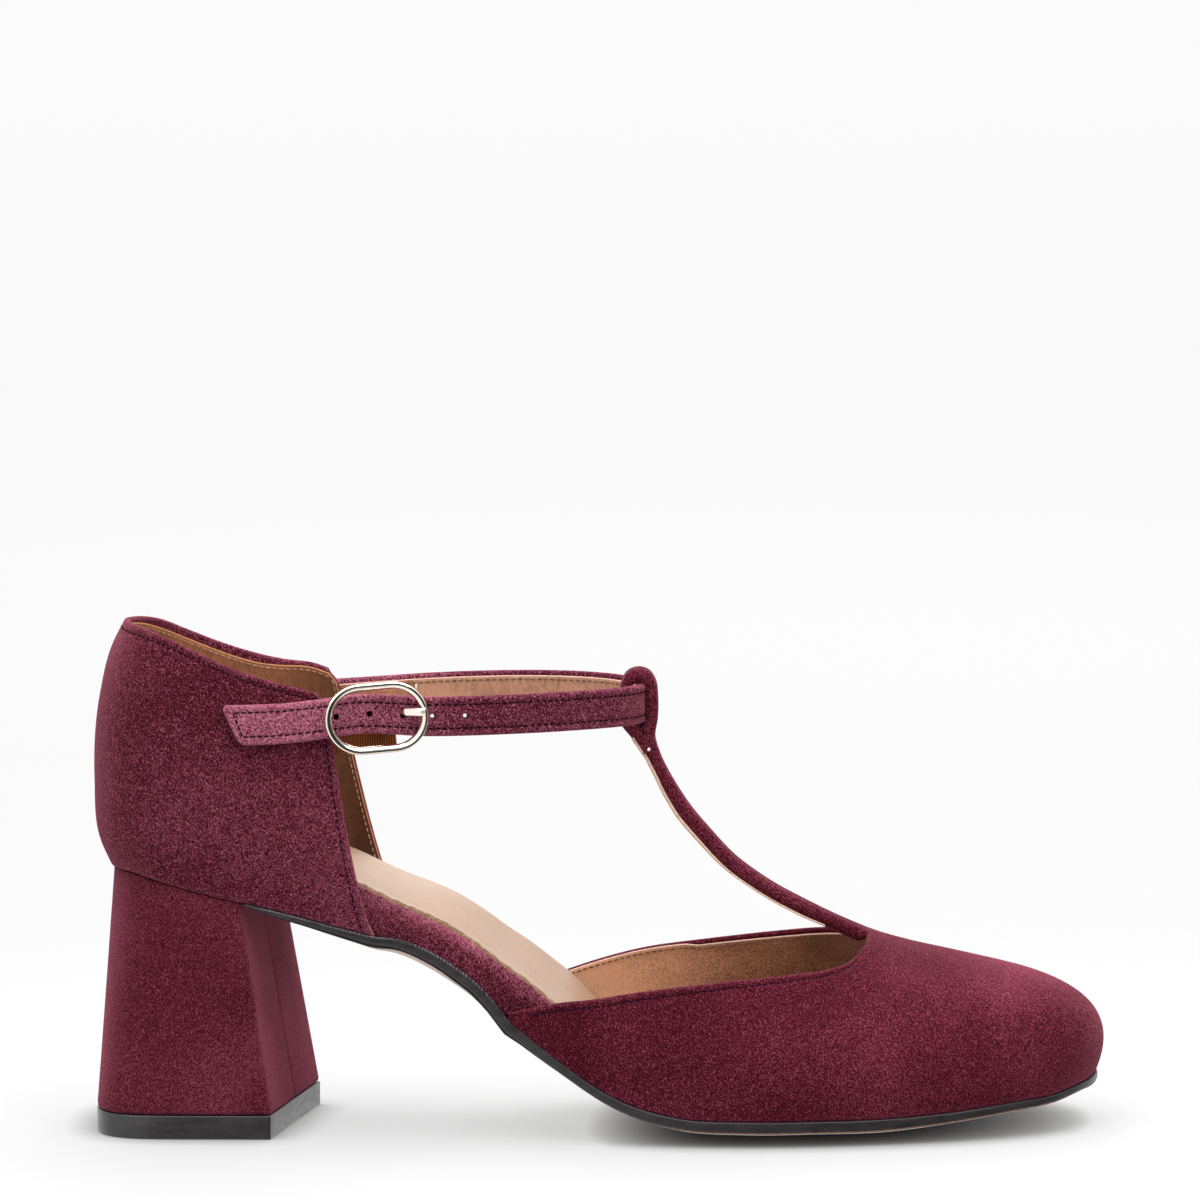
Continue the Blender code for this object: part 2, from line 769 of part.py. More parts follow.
def heel_ring(level):
    """Outline of the heel block in plan, from the top (0) to the foot (1), the breast last."""
    plan = FEATHER.inset(HEEL_INSET)
    share = np.linspace(0, 1, 7)[:-1]
    angles = np.linspace(-math.pi / 2, math.pi / 2, 25)
    top = []
    foot = []
    middle_x, middle_y = HEEL_FOOT_MID
    for name in ("lateral", "medial"):
        x = BREAST_TOP[name] + (HEEL_PIVOT[0] - BREAST_TOP[name]) * share
        top.append(np.stack([x, plan.side(name, x)], axis=1))
        start = np.array(BREAST_FOOT[name])
        end = np.array([middle_x, middle_y + math.copysign(HEEL_FOOT_HALF, start[1])])
        foot.append(start + (end - start) * share[:, None])
    back, _ = plan.fan(HEEL_PIVOT, -1, angles)
    power = 2 / HEEL_FOOT_POWER
    sine = np.sin(angles)
    curve = np.stack(
        [
            middle_x - HEEL_FOOT_BACK * np.cos(angles) ** power,
            middle_y + HEEL_FOOT_HALF * np.sign(sine) * np.abs(sine) ** power,
        ],
        axis=1,
    )
    top_ring = np.concatenate([top[0], back, top[1][::-1]])
    foot_ring = np.concatenate([foot[0], curve, foot[1][::-1]])
    ring = top_ring + (foot_ring - top_ring) * level
    breast = ring[-1] + (ring[0] - ring[-1]) * np.linspace(0, 1, 9)[1:-1, None]
    return np.concatenate([ring, breast])


def rings_body(name, rings, surface):
    """A body through closed rings of equal count, with a face over the first and the last."""
    count = len(rings[0])
    faces = []
    for i in range(len(rings) - 1):
        for j in range(count):
            k = (j + 1) % count
            faces.append((i * count + j, i * count + k, (i + 1) * count + k, (i + 1) * count + j))
    faces.append(tuple(range(count)))
    faces.append(tuple(range((len(rings) - 1) * count, len(rings) * count)))
    return add_body(name, np.concatenate(rings), faces, surface)


def heel():
    low = TIP_THICK + GAP
    rings = []
    top = heel_ring(0)
    centre = top.mean(axis=0)
    for scale in (0.1, 0.4, 0.7):
        plan = centre + (top - centre) * scale
        rings.append(np.column_stack([plan, sole_top(plan[:, 0], plan[:, 1]) - GAP / 2]))
    top_z = sole_top(top[:, 0], top[:, 1]) - GAP / 2
    for level in np.linspace(0, 1, 7):
        rings.append(np.column_stack([heel_ring(level), top_z + (low - top_z) * level]))
    rings_body("heel", rings, SUEDE)
    foot = heel_ring(1.0)
    tip = [np.column_stack([foot, np.full(len(foot), z)]) for z in (TIP_THICK, 0.0)]
    rings_body("heel_tip", tip, SOLE_BLACK)


def strap_edges():
    """Lower and upper edge of the strap's middle sheet, from the free end round to the sewn end."""
    half = STRAP_WIDTH / 2
    clear = 2 * GAP + STRAP_THICK / 2
    edges = []
    for place in (-half, half):
        lines = {}
        for name, out in (("lateral", -1), ("medial", 1)):
            x = STRAP_END[name]["x"].copy()
            z = STRAP_END[name]["z"] + place
            if name == "lateral":
                x[0] -= STRAP_TIP_SLANT / 2 * np.sign(place)
            y = [quarter_face(name, *at) + out * clear for at in zip(x, z)]
            lines[name] = np.column_stack([x, y, z])
        free = np.column_stack([STRAP_FREE["x"], STRAP_FREE["y"], STRAP_FREE["z"] + place])
        edges.append(spline([*lines["lateral"], *free, *lines["medial"]], 12))
    return edges


def thick_strip(name, low, high, places, thick, surface, skip=()):
    """A strap of even thickness between two edge lines."""
    grid = low[:, None] + (high - low)[:, None] * places[None, :, None]
    sheet = Sheet()
    sheet.grid(grid, thick, skip)
    points = np.array(sheet.points)
    faces = [list(face) for face in sheet.faces]
    normals = point_normals(points, [list(face) for face in quads(len(low), len(places))])
    used = sorted({k for face in faces for k in face})
    place_of = {k: i for i, k in enumerate(used)}
    faces = [[place_of[k] for k in face] for face in faces]
    front = (points + normals * thick / 2)[used]
    back = (points - normals * thick / 2)[used]
    return add_body(name, *shell(front, back, faces), surface)


def ankle_strap():
    low, high = strap_edges()
    middle = (low + high) / 2
    length = np.concatenate([[0], np.cumsum(np.linalg.norm(np.diff(middle, axis=0), axis=1))])
    share = length / length[-1]
    apex = int(middle[:, 0].argmax())
    hole = np.interp(HOLE_RANGE, middle[: apex + 1, 0], share[: apex + 1])
    before = np.linspace(0, hole[0], 12)
    after = hole[1] + (1 - hole[1]) * np.linspace(0, 1, 52)
    marks = np.concatenate([before, after])
    places = 0.5 + np.array([-0.5, -HOLE_HALF / STRAP_WIDTH, HOLE_HALF / STRAP_WIDTH, 0.5])
    rows = [np.stack([np.interp(marks, share, line[:, k]) for k in range(3)], axis=1) for line in (low, high)]
    thick_strip("ankle_strap", *rows, places, STRAP_THICK, SUEDE, skip={(len(before) - 1, 1)})


def tube(name, path, radius, sides, surface, closed=False):
    """A round wire along a path."""
    path = np.asarray(path, float)
    count = len(path)
    if closed:
        along = np.roll(path, -1, axis=0) - np.roll(path, 1, axis=0)
    else:
        along = np.gradient(path, axis=0)
    along /= np.linalg.norm(along, axis=1)[:, None]
    side = np.cross(along[0], along[count // 3])
    if np.linalg.norm(side) < 1e-6:
        side = np.cross(along[0], (0.3, 0.5, 0.8))
    rings = []
    for point, direction in zip(path, along):
        side = side - direction * (side @ direction)
        side /= np.linalg.norm(side)
        other = np.cross(direction, side)
        turn = np.arange(sides) * 2 * math.pi / sides
        rings.append(point + radius * (np.cos(turn)[:, None] * side + np.sin(turn)[:, None] * other))
    if not closed:
        return rings_body(name, rings, surface)
    faces = []
    for i in range(count):
        for j in range(sides):
            k = (j + 1) % sides
            n = (i + 1) % count
            faces.append((i * sides + j, i * sides + k, n * sides + k, n * sides + j))
    return add_body(name, np.concatenate(rings), faces, surface)


class BuckleFrame:
    """Places beside the strap at the buckle: along it, outwards from its middle, and up."""

    def __init__(self):
        low, high = strap_edges()
        middle = (low + high) / 2
        line = middle[: int(middle[:, 0].argmax()) + 1]
        y = np.interp([BUCKLE_X - 6, BUCKLE_X, BUCKLE_X + 6], line[:, 0], line[:, 1])
        along = np.array([12.0, y[2] - y[0], 0.0])
        along /= np.linalg.norm(along)
        lean = (high - low)[int(np.abs(line[:, 0] - BUCKLE_X).argmin())]
        lean /= np.linalg.norm(lean)
        self.centre = np.array([BUCKLE_X, y[1], BUCKLE_Z])
        self.out = np.cross(along, lean)
        self.along = along * math.cos(BUCKLE_TILT) + lean * math.sin(BUCKLE_TILT)
        self.up = np.cross(self.out, self.along) * -1
        if self.up[2] < 0:
            self.up = -self.up
        if self.out[1] > 0:
            self.out = -self.out

    def at(self, along, out, up):
        return self.centre + self.along * along + self.out * out + self.up * up


def arc(centre, radius, start, stop, count):
    turn = np.radians(np.linspace(start, stop, count))
    return [(centre[0] + radius * math.cos(a), centre[1] + radius * math.sin(a)) for a in turn]


FACE = STRAP_THICK / 2
FRAME_OUT = FACE + 2 * GAP + WIRE_RADIUS
BAR_OUT = -(FACE + 2 * GAP + 2 * PRONG_RADIUS + GAP + BAR_RADIUS)


def buckle():
    place = BuckleFrame()
    long = BUCKLE_LONG / 2 - WIRE_RADIUS
    tall = BUCKLE_TALL / 2 - WIRE_RADIUS
    flat = long - tall
    outline = arc((flat, 0), tall, -90, 90, 13) + arc((-flat, 0), tall, 90, 270, 13)
    frame = tube("buckle_frame", [place.at(a, FRAME_OUT, u) for a, u in outline], WIRE_RADIUS, 8, GOLD, True)
    bend = BAR_OUT + BAR_BEND
    side_view = [(FRAME_OUT, tall)]
    side_view += arc((bend, tall - BAR_BEND), BAR_BEND, 90, 180, 5)
    side_view += [(BAR_OUT, 0)]
    side_view += arc((bend, BAR_BEND - tall), BAR_BEND, 180, 270, 5)
    side_view += [(FRAME_OUT, -tall)]
    bar = tube("buckle_bar", [place.at(BAR_ALONG, o, u) for o, u in side_view], BAR_RADIUS, 8, GOLD)
    join(frame, bar)

    turn = BAR_RADIUS + GAP + PRONG_RADIUS
    rest = FRAME_OUT + WIRE_RADIUS + GAP + PRONG_RADIUS
    ring = arc((BAR_ALONG, BAR_OUT), turn, 380, 90, 11)
    hole = np.array(HOLE_RANGE) - BUCKLE_X
    through = [
        (hole[0] - 1.2, BAR_OUT + turn),
        (hole[0] + 0.7, BAR_OUT + turn + 0.35),
        (hole.mean() + 0.1, 0.2),
        (hole[1] - 0.5, 2.0),
        (long - 1.6, rest - 0.35),
        (long, rest),
        (long + 0.6, rest),
    ]
    path = ring + [tuple(p) for p in spline([ring[-1], *through], 3)[1:]]
    tube("buckle_prong", [place.at(a, o, PRONG_UP) for a, o in path], PRONG_RADIUS, 6, GOLD)
    elastic(place)


def elastic(place):
    """Ribbed tab from inside the quarter, folded round the buckle's bar with a slot for the prong."""
    half = ELASTIC_WIDTH / 2
    inner = WALL + ELASTIC_CLEAR + ELASTIC_THICK / 2
    radius = BAR_RADIUS + GAP + ELASTIC_THICK / 2
    lines = []
    for side in (-half, half):
        rows = []
        for x, z in zip(ELASTIC_END["x"], ELASTIC_END["z"]):
            rows.append((x, quarter_face("lateral", x, z + side) + inner, z + side))
        bend = arc((BAR_ALONG, BAR_OUT), radius, -110, 130, 13)
        rows = list(spline(rows + [place.at(-3.2, BAR_OUT - radius, side)], 4)[:-1])
        rows += [place.at(a, o, side) for a, o in bend]
        lines.append(np.array(rows))
    count = len(lines[0])
    slot = [PRONG_UP - PRONG_SLOT_HALF, PRONG_UP + PRONG_SLOT_HALF]
    places = 0.5 + np.array([-half, *slot, half]) / ELASTIC_WIDTH
    skip = {(i, 1) for i in range(count - len(bend) - 1, count - 1)}
    thick_strip("buckle_elastic", *lines, places, ELASTIC_THICK, ELASTIC_BROWN, skip)


outsole()
insole()
waist_wraps()
heel()
vamp()
quarter()
ankle_strap()
buckle()
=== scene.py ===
"""Looks of a T-strap pump for the right foot: suede, linings, stitches, footbed, sole edge and buckle.

Shapes are worked out in millimetres. Where a mesh is made, SHIFT moves them into the frame of the solids and
they become metres. X runs from heel to toe, +Y is the inner side of the foot and the floor is z = 0."""

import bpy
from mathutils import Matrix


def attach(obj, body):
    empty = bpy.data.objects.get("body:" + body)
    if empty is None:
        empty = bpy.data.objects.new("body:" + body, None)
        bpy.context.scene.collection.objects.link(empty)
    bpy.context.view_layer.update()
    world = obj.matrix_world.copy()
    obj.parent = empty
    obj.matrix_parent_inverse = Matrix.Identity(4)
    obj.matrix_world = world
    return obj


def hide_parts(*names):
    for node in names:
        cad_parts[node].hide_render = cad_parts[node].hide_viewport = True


bl_info = {
    "name": "T-strap pump",
    "version": (1, 0, 0),
    "blender": (4, 5, 0),
    "location": "3D View > Sidebar > Pump",
    "description": "Makes the suede, linings, stitches and metal of a T-strap pump round its solids",
    "category": "Add Mesh",
}

import math

import bmesh
import bpy
import numpy as np
from bpy.props import FloatProperty, FloatVectorProperty, PointerProperty
from mathutils import Vector
from mathutils.kdtree import KDTree

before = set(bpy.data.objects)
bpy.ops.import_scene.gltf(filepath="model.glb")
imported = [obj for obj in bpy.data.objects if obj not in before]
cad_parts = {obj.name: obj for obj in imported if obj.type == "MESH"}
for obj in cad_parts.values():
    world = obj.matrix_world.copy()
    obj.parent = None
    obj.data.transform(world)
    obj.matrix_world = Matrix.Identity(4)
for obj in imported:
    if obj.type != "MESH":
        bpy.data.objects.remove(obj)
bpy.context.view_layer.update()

MM = 0.001
SHIFT = np.array([-0.2, -2.1, 0.0])
GAP = 0.3
WELD = 1e-3
SIDES = ("lateral", "medial")
OUTWARD = {"lateral": -1.0, "medial": 1.0}
OUT_Y = {name: (0, out, 0) for name, out in OUTWARD.items()}
UP = (0, 0, 1)
DOWN = (0, 0, -1)

# Edges of folded pieces: distance of each row of points from the fold, with the stitches on one of them
FOLD_ROWS = (0.0, 0.9, 1.3, 1.6, 1.9, 2.2, 2.5, 3.3, 4.6)
STITCH_ROW = 4
GROOVE = {3: 0.10, 4: 0.24, 5: 0.10}
FRONT, RIM, BACK = range(3)
RIM_STEPS = 5
RIM_SHARE = 0.85
RIM_LIMIT = 2.0
BEHIND_SUEDE = 0.05
EASE_STEP = 0.5
EASE_CORE = 0.3

# Rings of one stitch: place along it, lift in widths of the thread, and share of the thread's width
STITCH_RINGS = (
    (0.10, -0.7, 0.5), (0.20, 0.05, 0.95), (0.5, 0.28, 1.0), (0.80, 0.05, 0.95), (0.90, -0.7, 0.5),
)
STITCH_SIDES = 6

# Sole, footbed and waist
WALL = 2.0
WRAP_THICK = 1.0
BACK_TIP = (-115.6, -0.4)
TOE_TIP = (118.0, 4.0)
TOE_PIVOT = (94.0, 4.0)
HEEL_PIVOT = (-91.0, -0.8)
FAN_BEHIND = 8
PLAN_STEPS = 24
SPINE_BENDS_AT = 40
NARROWEST_HALF = 14
PAST_EDGE = 1.05
SOLE_EDGE = 0.5
SOLE_ROUND = 0.3
SOLE_SWELL = 0.12
SOLE_SIDE = (0.86, 0.7, 0.45, 0.22, 0.09)
# Painted highlight along the top of the sole's edge, for each ring of points from its side onto its top
LEDGE_HIGHLIGHT = (0, 0, 0, 0.1, 0.8, 1, 1, 0.5)
FLAT_SHARE = 0.2
EDGE_THINNING = 0.16
SHANK_THIN = 0.4
SHANK_RANGE = (-84, -73)
BED_DISH = 0.35
BED_ROUND = 1.0
BED_EDGE = 1.5
BED_EDGE_ROWS = (0.0, 0.12, 0.4, 0.85, BED_EDGE)
BED_EDGE_DROP = 1.3
BED_SUNK = 0.9
BED_SUNK_AT = -35
BED_SUNK_LONG = 13
BED_LIFT = 1.5
BED_LIFT_RANGE = (-62, -46)
BED_RAISE = 0.9
BED_RAISE_RANGE = (-8, 6)
BED_CLEAR = 1.5 * GAP
BED_NARROW = (-73.0, -66.0, -2.0, 5.0)
WAIST_OPEN = (-48.0, -41.5, -28.5, -22.0)
WRAP_RANGE = (-64.0, -4.0)
WRAP_OPEN_INSET = 0.9
WRAP_SWELL = 0.9
WRAP_POWERS = {"over": 0.85, "up": 0.9}
WRAP_SHELL = 0.9
# Painted highlight along the top of the waist wraps, and painted shade below it
WRAP_TOP_HIGHLIGHT = 2.8
WRAP_LOW_SHADE = 0.3

# Torn strip at the footbed's edge, and the waves that make it ragged: height, rate and start
FRAYED_WIDE = 1.2
FRAYED_OUT = 0.35
FRAYED_THICK = 0.4
FRAYED_LIFT = {"lateral": 0.12, "medial": -0.2}
FRAYED_ROWS = ((0.0, 0.5), (0.1, 0.0), (0.35, 0.0), (0.7, 0.0), (1.0, 0.0))
FRAYED_WAVES = ((0.16, 1.7, 0.0), (0.13, 3.3, 0.8), (0.10, 6.1, 2.0))
FRAYED_RAGGED = 1.4
FRAYED_BROAD = 0.5
FRAYED_BROAD_AT = (-37, 6)

# How far the edge's paint reaches under the sole, by x, and the bare line along its border
EDGE_PAINT = ((-66, -56, -48, -38, -28, 0, 20), (6.5, 6.5, 2.9, 2.9, 6.5, 6.5, 0.5))
INNER_PAINT = 2.0
PAINT_ROWS = 5
BARE_LINE = 0.6
SOLE_FINISHES = ("sole_edge", "tread", "sole_paint", "frayed_edge")

# Vamp, T-bar and quarter
VAMP_REAR = {"lateral": -21.4, "medial": -18.0}
THROAT_X = 63.5
NARROW_WALL = 9.0
WALL_COLUMNS = 22
WALL_SPACING = 1.25
THROAT_EASE = 3.0
THROAT_ROUNDS = 10
BAR_WIDTH = 9.0
BAR_LEAVES_X = 21.4
BAR_PLACES = np.array([-1, -0.62, -0.3, 0, 0.3, 0.62, 1])
BAR_CROWN = 0.6
BAR_BLEND = 12
BAR_STEPS = 6
BAR_BODY_RANGE = (-6, 1.5)
TOE_FAN = 61
TOE_SHAPE = {"bulge": 7.7, "rise": 0.64, "crest": 0.66}
TUCKED = 0.1
QUARTER_EDGE = {"lateral": (-52.6, -63.6), "medial": (-47.6, -62.9)}
QUARTER_TALL = 56.0
QUARTER_LONG = 31.0
EDGE_BEND = 0.70
CORNER_CUT = 2.0
CORNER_RANGE = (0.93, 1.0)

# Linings of vamp, T-bar and quarter
LINING_COLUMNS = 12
THROAT_BARE = 1
THROAT_BARE_RANGE = (57, 62)
INNER_BARE = 0.2
INNER_BARE_RANGE = (20, 24)
UNDER_BAR = {"reach": 0.8, "above": 40.5, "ahead": 1.2}
BAR_LINING_FROM = 9.0
BAR_LINING_THIN = 0.45
BAR_LINING_GAIN = 0.35
BAR_LINING_GAIN_RANGE = (30, 48)
BAR_LINING_SHOWN = 0.35
BAR_LINING_ROOT = 0.5
BAR_LINING_ROOT_RANGE = (5, 17)
BAR_LINING_PLACES = np.array([-0.96, -0.5, 0.0, 0.5, 0.96])
BAR_LINING_END = ((15.2, 79.4), (13.9, 82.2), (12.4, 85.2), (11.4, 87.2), (9.7, 89.7), (8.0, 92.2))
BAR_KNOT = (11.5, -3.7, 89.3)
BAR_KNOT_WAY = (0.25, 0.0, 0.45)
LOOP_CREASE = ((9.3, -3.6, 97.4), (9.6, -3.6, 95.0), (10.6, -3.6, 92.6))
QUARTER_REVEAL = {"lateral": 0.12, "medial": 0.25}
QUARTER_LOWERED = 1.1
LOWERED_ALONG = (-112, -103, -84, -70)
LOWERED_ABOVE = (85, 105)

# Heel block
HEEL_INSET = 0.6
BREAST_TOP = {"lateral": -83.8, "medial": -76.2}
BREAST_FOOT = {"lateral": (-77.1, -25.8), "medial": (-67.5, 21.6)}
HEEL_FOOT_MID = (-92.0, -1.4)
HEEL_FOOT_BACK = 26.9
HEEL_FOOT_HALF = 24.2
HEEL_FOOT_POWER = 4.0
HEEL_TOP_SCALES = (0.35, 0.7, 0.9)
HEEL_TUCK = 0.35
HEEL_TUCK_FROM = 0.985
BREAST_CORNER = 1.4
BREAST_COLUMNS = 13
# Painted light over the heel's breast, as light thrown up from the floor
BREAST_BOUNCE_LIGHT = 0.9
SEAM_COLUMNS = np.array([0, 0.22, 0.45, 0.8, 1.4, 2.4, 4.0])
SEAM_GROOVE = ((0, 0.28), (1, 0.16), (2, 0.05))
TIP_THICK = 5.6
TIP_CORNER = 0.35
TIP_RINGS = (
    (TIP_THICK, 0.25), (TIP_THICK - 0.08, 0.07), (TIP_THICK - 0.25, 0.0),
    (0.3, 0.0), (0.09, 0.09), (0.0, 0.3),
)

# Ankle strap and its lining
STRAP_WIDTH = 9.3
STRAP_THICK = 2.2
STRAP_TIP_SLANT = 4.4
STRAP_SEAM_X = -44.6
STRAP_STEP = 0.9
STRAP_EDGE_ROWS = np.array([*FOLD_ROWS[:7], 3.1])
STRAP_LINING_ROWS = {"low": np.array([0.0, 0.95, 1.7, 2.5]), "high": np.array([0.3, 1.2, 1.9, 2.5])}
STRAP_LINING_ENDS = (2.0, 1.0)
STRAP_TIP_EASE = (4.0, 1.2)
STRAP_TIP_ROUNDS = 14
WRINKLE = 0.09
WRINKLE_WAVES = ((1.0, 1.9, 0.0), (0.7, 1.13, 1.0), (0.5, 3.1, 0.4))
WRINKLE_LIMITS = (-1.2, 1.8)
OPEN_HOLES = 3
HOLES_X = (-61.2, -53.5, -45.7, -38.9, -31.3)
HOLE_CELLS = 2
HOLE_CLEAR = 1.4
HOLE_BLOCK = np.arange(-HOLE_CELLS - 1, HOLE_CELLS + 2) * 0.31
LINING_HOLE = 0.62

# Buckle
BUCKLE_X = -51.8
BUCKLE_Z = 100.0
BUCKLE_LONG = 24.0
BUCKLE_TALL = 16.5
BUCKLE_TILT = math.radians(5.0)
BUCKLE_REACH = 6.0
WIRE_RADIUS = 0.9
WIRE_SIDES = 20
FRAME_DISH = 0.45
BAR_ALONG = 2.0
BAR_RADIUS = 0.8
BAR_BEND = 1.2
BAR_TOP = 3.4
PRONG_RADIUS = 0.55
PRONG_TALL = 0.95
PRONG_UP = 0.7
PRONG_SLOT_HALF = 1.1
THIN_SIDES = 14
FRAME_OUT = STRAP_THICK / 2 + 2 * GAP + WIRE_RADIUS
BAR_OUT = -(STRAP_THICK / 2 + 2 * GAP + 2 * PRONG_RADIUS + GAP + BAR_RADIUS)
ELASTIC_THICK = 0.9
ELASTIC_WIDTH = 11.4
ELASTIC_DROP = 2.1
ELASTIC_CLEAR = 0.65

# Studio, in metres: floor in side view, its glow, and each light's place, size and setting
FLOOR_FLAT = (-3.0, -1.0, 0.0, 1.0)
FLOOR_ACROSS = (-4.0, 0.0, 4.0)
FLOOR_FAR = 3.0
FLOOR_TALL = 3.0
FLOOR_BEND = 1.0
FLOOR_GLOW = ((0.0, 0.3, 0.74, 0.66), (0.7, 3.0, 0.0, 0.26))
# Reaches of the painted contact shadow in the floor's glow, near and wide, and the least glow that the wide
# one leaves
FLOOR_SHADE = (0.009, 0.06)
WIDE_SHADE = 0.66
DARK_WAY = (0.62, -0.78, 0.0)
DARK_SPREAD = (0.35, 0.78, 1.0, 0.03)
GLOSSY_GAIN = 1.8
LIGHTS_AIM = (0.0, 0.0, 0.05)
LIGHTS = (
    ("overhead", (0.0, -0.15, 1.5), 1.6, "key"),
    ("front_left", (-1.3, -1.6, 1.1), 1.0, "left"),
    ("front_right", (1.4, -1.3, 0.9), 1.0, "right"),
    ("behind", (0.2, 1.0, 1.3), 1.2, "back"),
)


def table(columns, rows):
    """A table as a dictionary of its columns."""
    return dict(zip(columns.split(), np.array(rows, float).T))


# Plan edges, feather height on the outer side, rise to the inner side, sag of the middle, sole and footbed
SECTIONS = table(
    "x lateral medial height tilt crown sole bed",
    [
        (-112, -12.8, 12.0, 62.0, 0.0, 1.0, 1.8, 7.0),
        (-104, -20.6, 19.2, 60.4, 0.0, 1.2, 1.8, 7.4),
        (-92, -25.0, 23.4, 57.7, 0.0, 1.5, 1.8, 8.0),
        (-76, -27.0, 23.0, 54.3, 0.6, 2.0, 1.7, 9.0),
        (-58, -27.0, 20.8, 49.3, 1.5, 3.2, 1.9, 9.6),
        (-40, -26.8, 19.4, 42.6, 2.0, 4.0, 2.8, 8.8),
        (-22, -28.5, 21.0, 29.0, 3.0, 3.6, 2.6, 9.2),
        (-10, -30.8, 24.2, 19.6, 3.1, 2.8, 2.3, 9.4),
        (4, -33.6, 29.4, 10.8, 1.8, 2.7, 2.5, 8.4),
        (18, -35.6, 34.4, 6.8, 0.5, 2.9, 3.0, 7.0),
        (34, -36.5, 38.8, 6.0, 0.0, 3.2, 3.2, 6.2),
        (50, -35.6, 40.6, 6.0, 0.0, 3.2, 3.2, 5.8),
        (66, -33.0, 39.8, 6.1, 0.0, 3.2, 3.2, 5.5),
        (82, -29.2, 37.0, 7.0, 0.0, 2.7, 2.7, 5.2),
        (96, -24.2, 32.0, 8.4, 0.0, 2.2, 2.4, 5.0),
        (108, -16.8, 24.6, 9.5, 0.0, 1.2, 2.1, 4.6),
        (115, -8.6, 16.6, 11.2, 0.0, 0.5, 2.0, 4.4),
    ],
)

# How far the sole's edge stands above that at the open waist
WAIST_RISE = table(
    "x lift",
    [
        (-70, 0.0), (-62, 0.0), (-56, 0.3), (-52, 0.6), (-49, 1.4), (-45, 2.0), (-40, 2.3), (-34, 2.7),
        (-28.5, 2.9), (-26, 2.4), (-23.4, 1.2), (-21.6, 0.2), (-20.5, 0.0), (-18, 0.0), (-10, 0.0),
    ],
)

# Instep line: height of the outer face and its sideways place
RIDGE = table(
    "x height across",
    [
        (-30, 100.0, 1.0), (-5, 95.0, 1.0), (10, 88.0, 1.0), (21.4, 75.6, 1.4), (30.9, 64.6, 1.8),
        (40.4, 57.4, 2.2), (50, 52.1, 2.6), (59, 47.7, 3.0), (64.3, 45.4, 3.2), (73.8, 42.5, 3.5),
        (83.4, 40.3, 3.8), (94, 37.9, 4.0),
    ],
)

# How far the vamp swells past the feather, how high it stays upright and how broad its crest is
VAMP_SHAPE = table(
    "x bulge rise crest",
    [(-22, 2.0, 0.45, 0.42), (30, 2.6, 0.50, 0.42), (64, 3.2, 0.56, 0.52), (94, 3.4, 0.62, 0.62)],
)

# Edge of the vamp at the open sides
THROAT = table(
    "x lateral medial",
    [
        (-22, 30.2, 28.6), (-11, 33.0, 31.6), (-2, 34.2, 34.3), (8, 35.9, 36.7), (26, 38.0, 39.2),
        (44, 39.2, 41.8), (54, 40.0, 43.3), (59, 41.3, 43.9), (62, 43.2, 44.2), (63.5, 44.5, 44.7),
    ],
)

# Side view of the T-bar's outer face above the instep: up the front, over the strap and down behind it
LOOP = table(
    "x z",
    [
        (16.6, 83.2), (14.3, 88.0), (13.1, 92.4), (13.7, 97.0), (13.8, 101.4), (13.3, 105.3), (11.7, 107.7),
        (9.3, 108.5), (6.7, 107.7), (5.1, 105.3), (4.9, 101.0), (4.8, 97.6), (5.1, 95.2), (7.4, 92.2),
        (10.2, 88.3),
    ],
)

# Thickness along the loop, by the number of the point in its side view
LOOP_BODY = table(
    "x middle edge",
    [
        (-9, 3.3, 0.0), (-4, 3.4, 0.0), (-2.5, 3.7, 0.0), (-1, 3.9, 0.0), (0, 3.35, 0.0), (1, 3.2, 0.1),
        (2, 3.4, 0.3), (2.45, 3.3, 0.3), (2.8, 2.4, 0.8), (3, 2.3, 0.8), (5, 2.4, 0.6), (6, 3.2, 0.3),
        (7, 3.6, 0.0), (8, 3.4, 0.0), (9, 2.5, 0.0), (10, 2.3, 0.0), (11, 2.6, 0.0), (12, 3.5, 0.0),
        (13, 4.2, 0.0), (14, 2.4, 0.0),
    ],
)

# Swell of the quarter past the feather by share of its height, at the back and at the sides
SWELL = table(
    "x back side",
    [
        (0.0, 0.0, 0.0), (0.1, 2.6, 1.2), (0.35, 4.0, 2.4),
        (0.7, 2.5, 0.9), (0.9, -0.6, -1.0), (1.0, -3.6, -2.0),
    ],
)

# Top edge of the quarter
TOPLINE = table(
    "x lateral medial",
    [
        (-112, 120.4, 120.4), (-105, 118.9, 118.6), (-99, 116.6, 115.8), (-92, 113.6, 112.8),
        (-84, 110.3, 110.2), (-76, 107.8, 108.4), (-68, 105.8, 107.4), (-62, 104.3, 105.2),
    ],
)

# Middle line of the strap over the quarter: its free end on the outer side and its sewn end on the inner
STRAP_END = {
    "lateral": table("x z", [(-85.9, 97.9), (-74.0, 98.4), (-66.0, 99.2)]),
    "medial": table("x z", [(-68.0, 98.2), (-77.0, 97.7)]),
}

# Middle line of the elastic tab behind the quarter
ELASTIC_END = table("x z", [(-73.0, 95.0), (-68.0, 95.4), (-62.8, 96.1)])

# Middle line of the strap where it is clear of the quarter, from the outer side round the front
STRAP_FREE = table(
    "x y z",
    [
        (-55, -28.1, 100.7), (-40, -27.2, 100.0), (-22, -24.3, 100.1), (-6, -18.6, 100.3),
        (4.2, -11.5, 100.3), (9.0, -4.6, 100.2), (9.7, 1.0, 100.1), (9.0, 6.6, 100.3),
        (4.2, 13.5, 100.6), (-6, 19.2, 100.8), (-22, 23.6, 100.5), (-40, 24.8, 99.8), (-54, 23.8, 99.0),
    ],
)


def length(label, text, value):
    return FloatProperty(name=label, description=text, default=value, unit="LENGTH")


def power(label, text, value):
    return FloatProperty(name=label, description=text, default=value, unit="POWER")


def colour(label, text, value):
    return FloatVectorProperty(
        name=label, description=text, default=value, size=3, min=0.0, max=1.0, subtype="COLOR"
    )


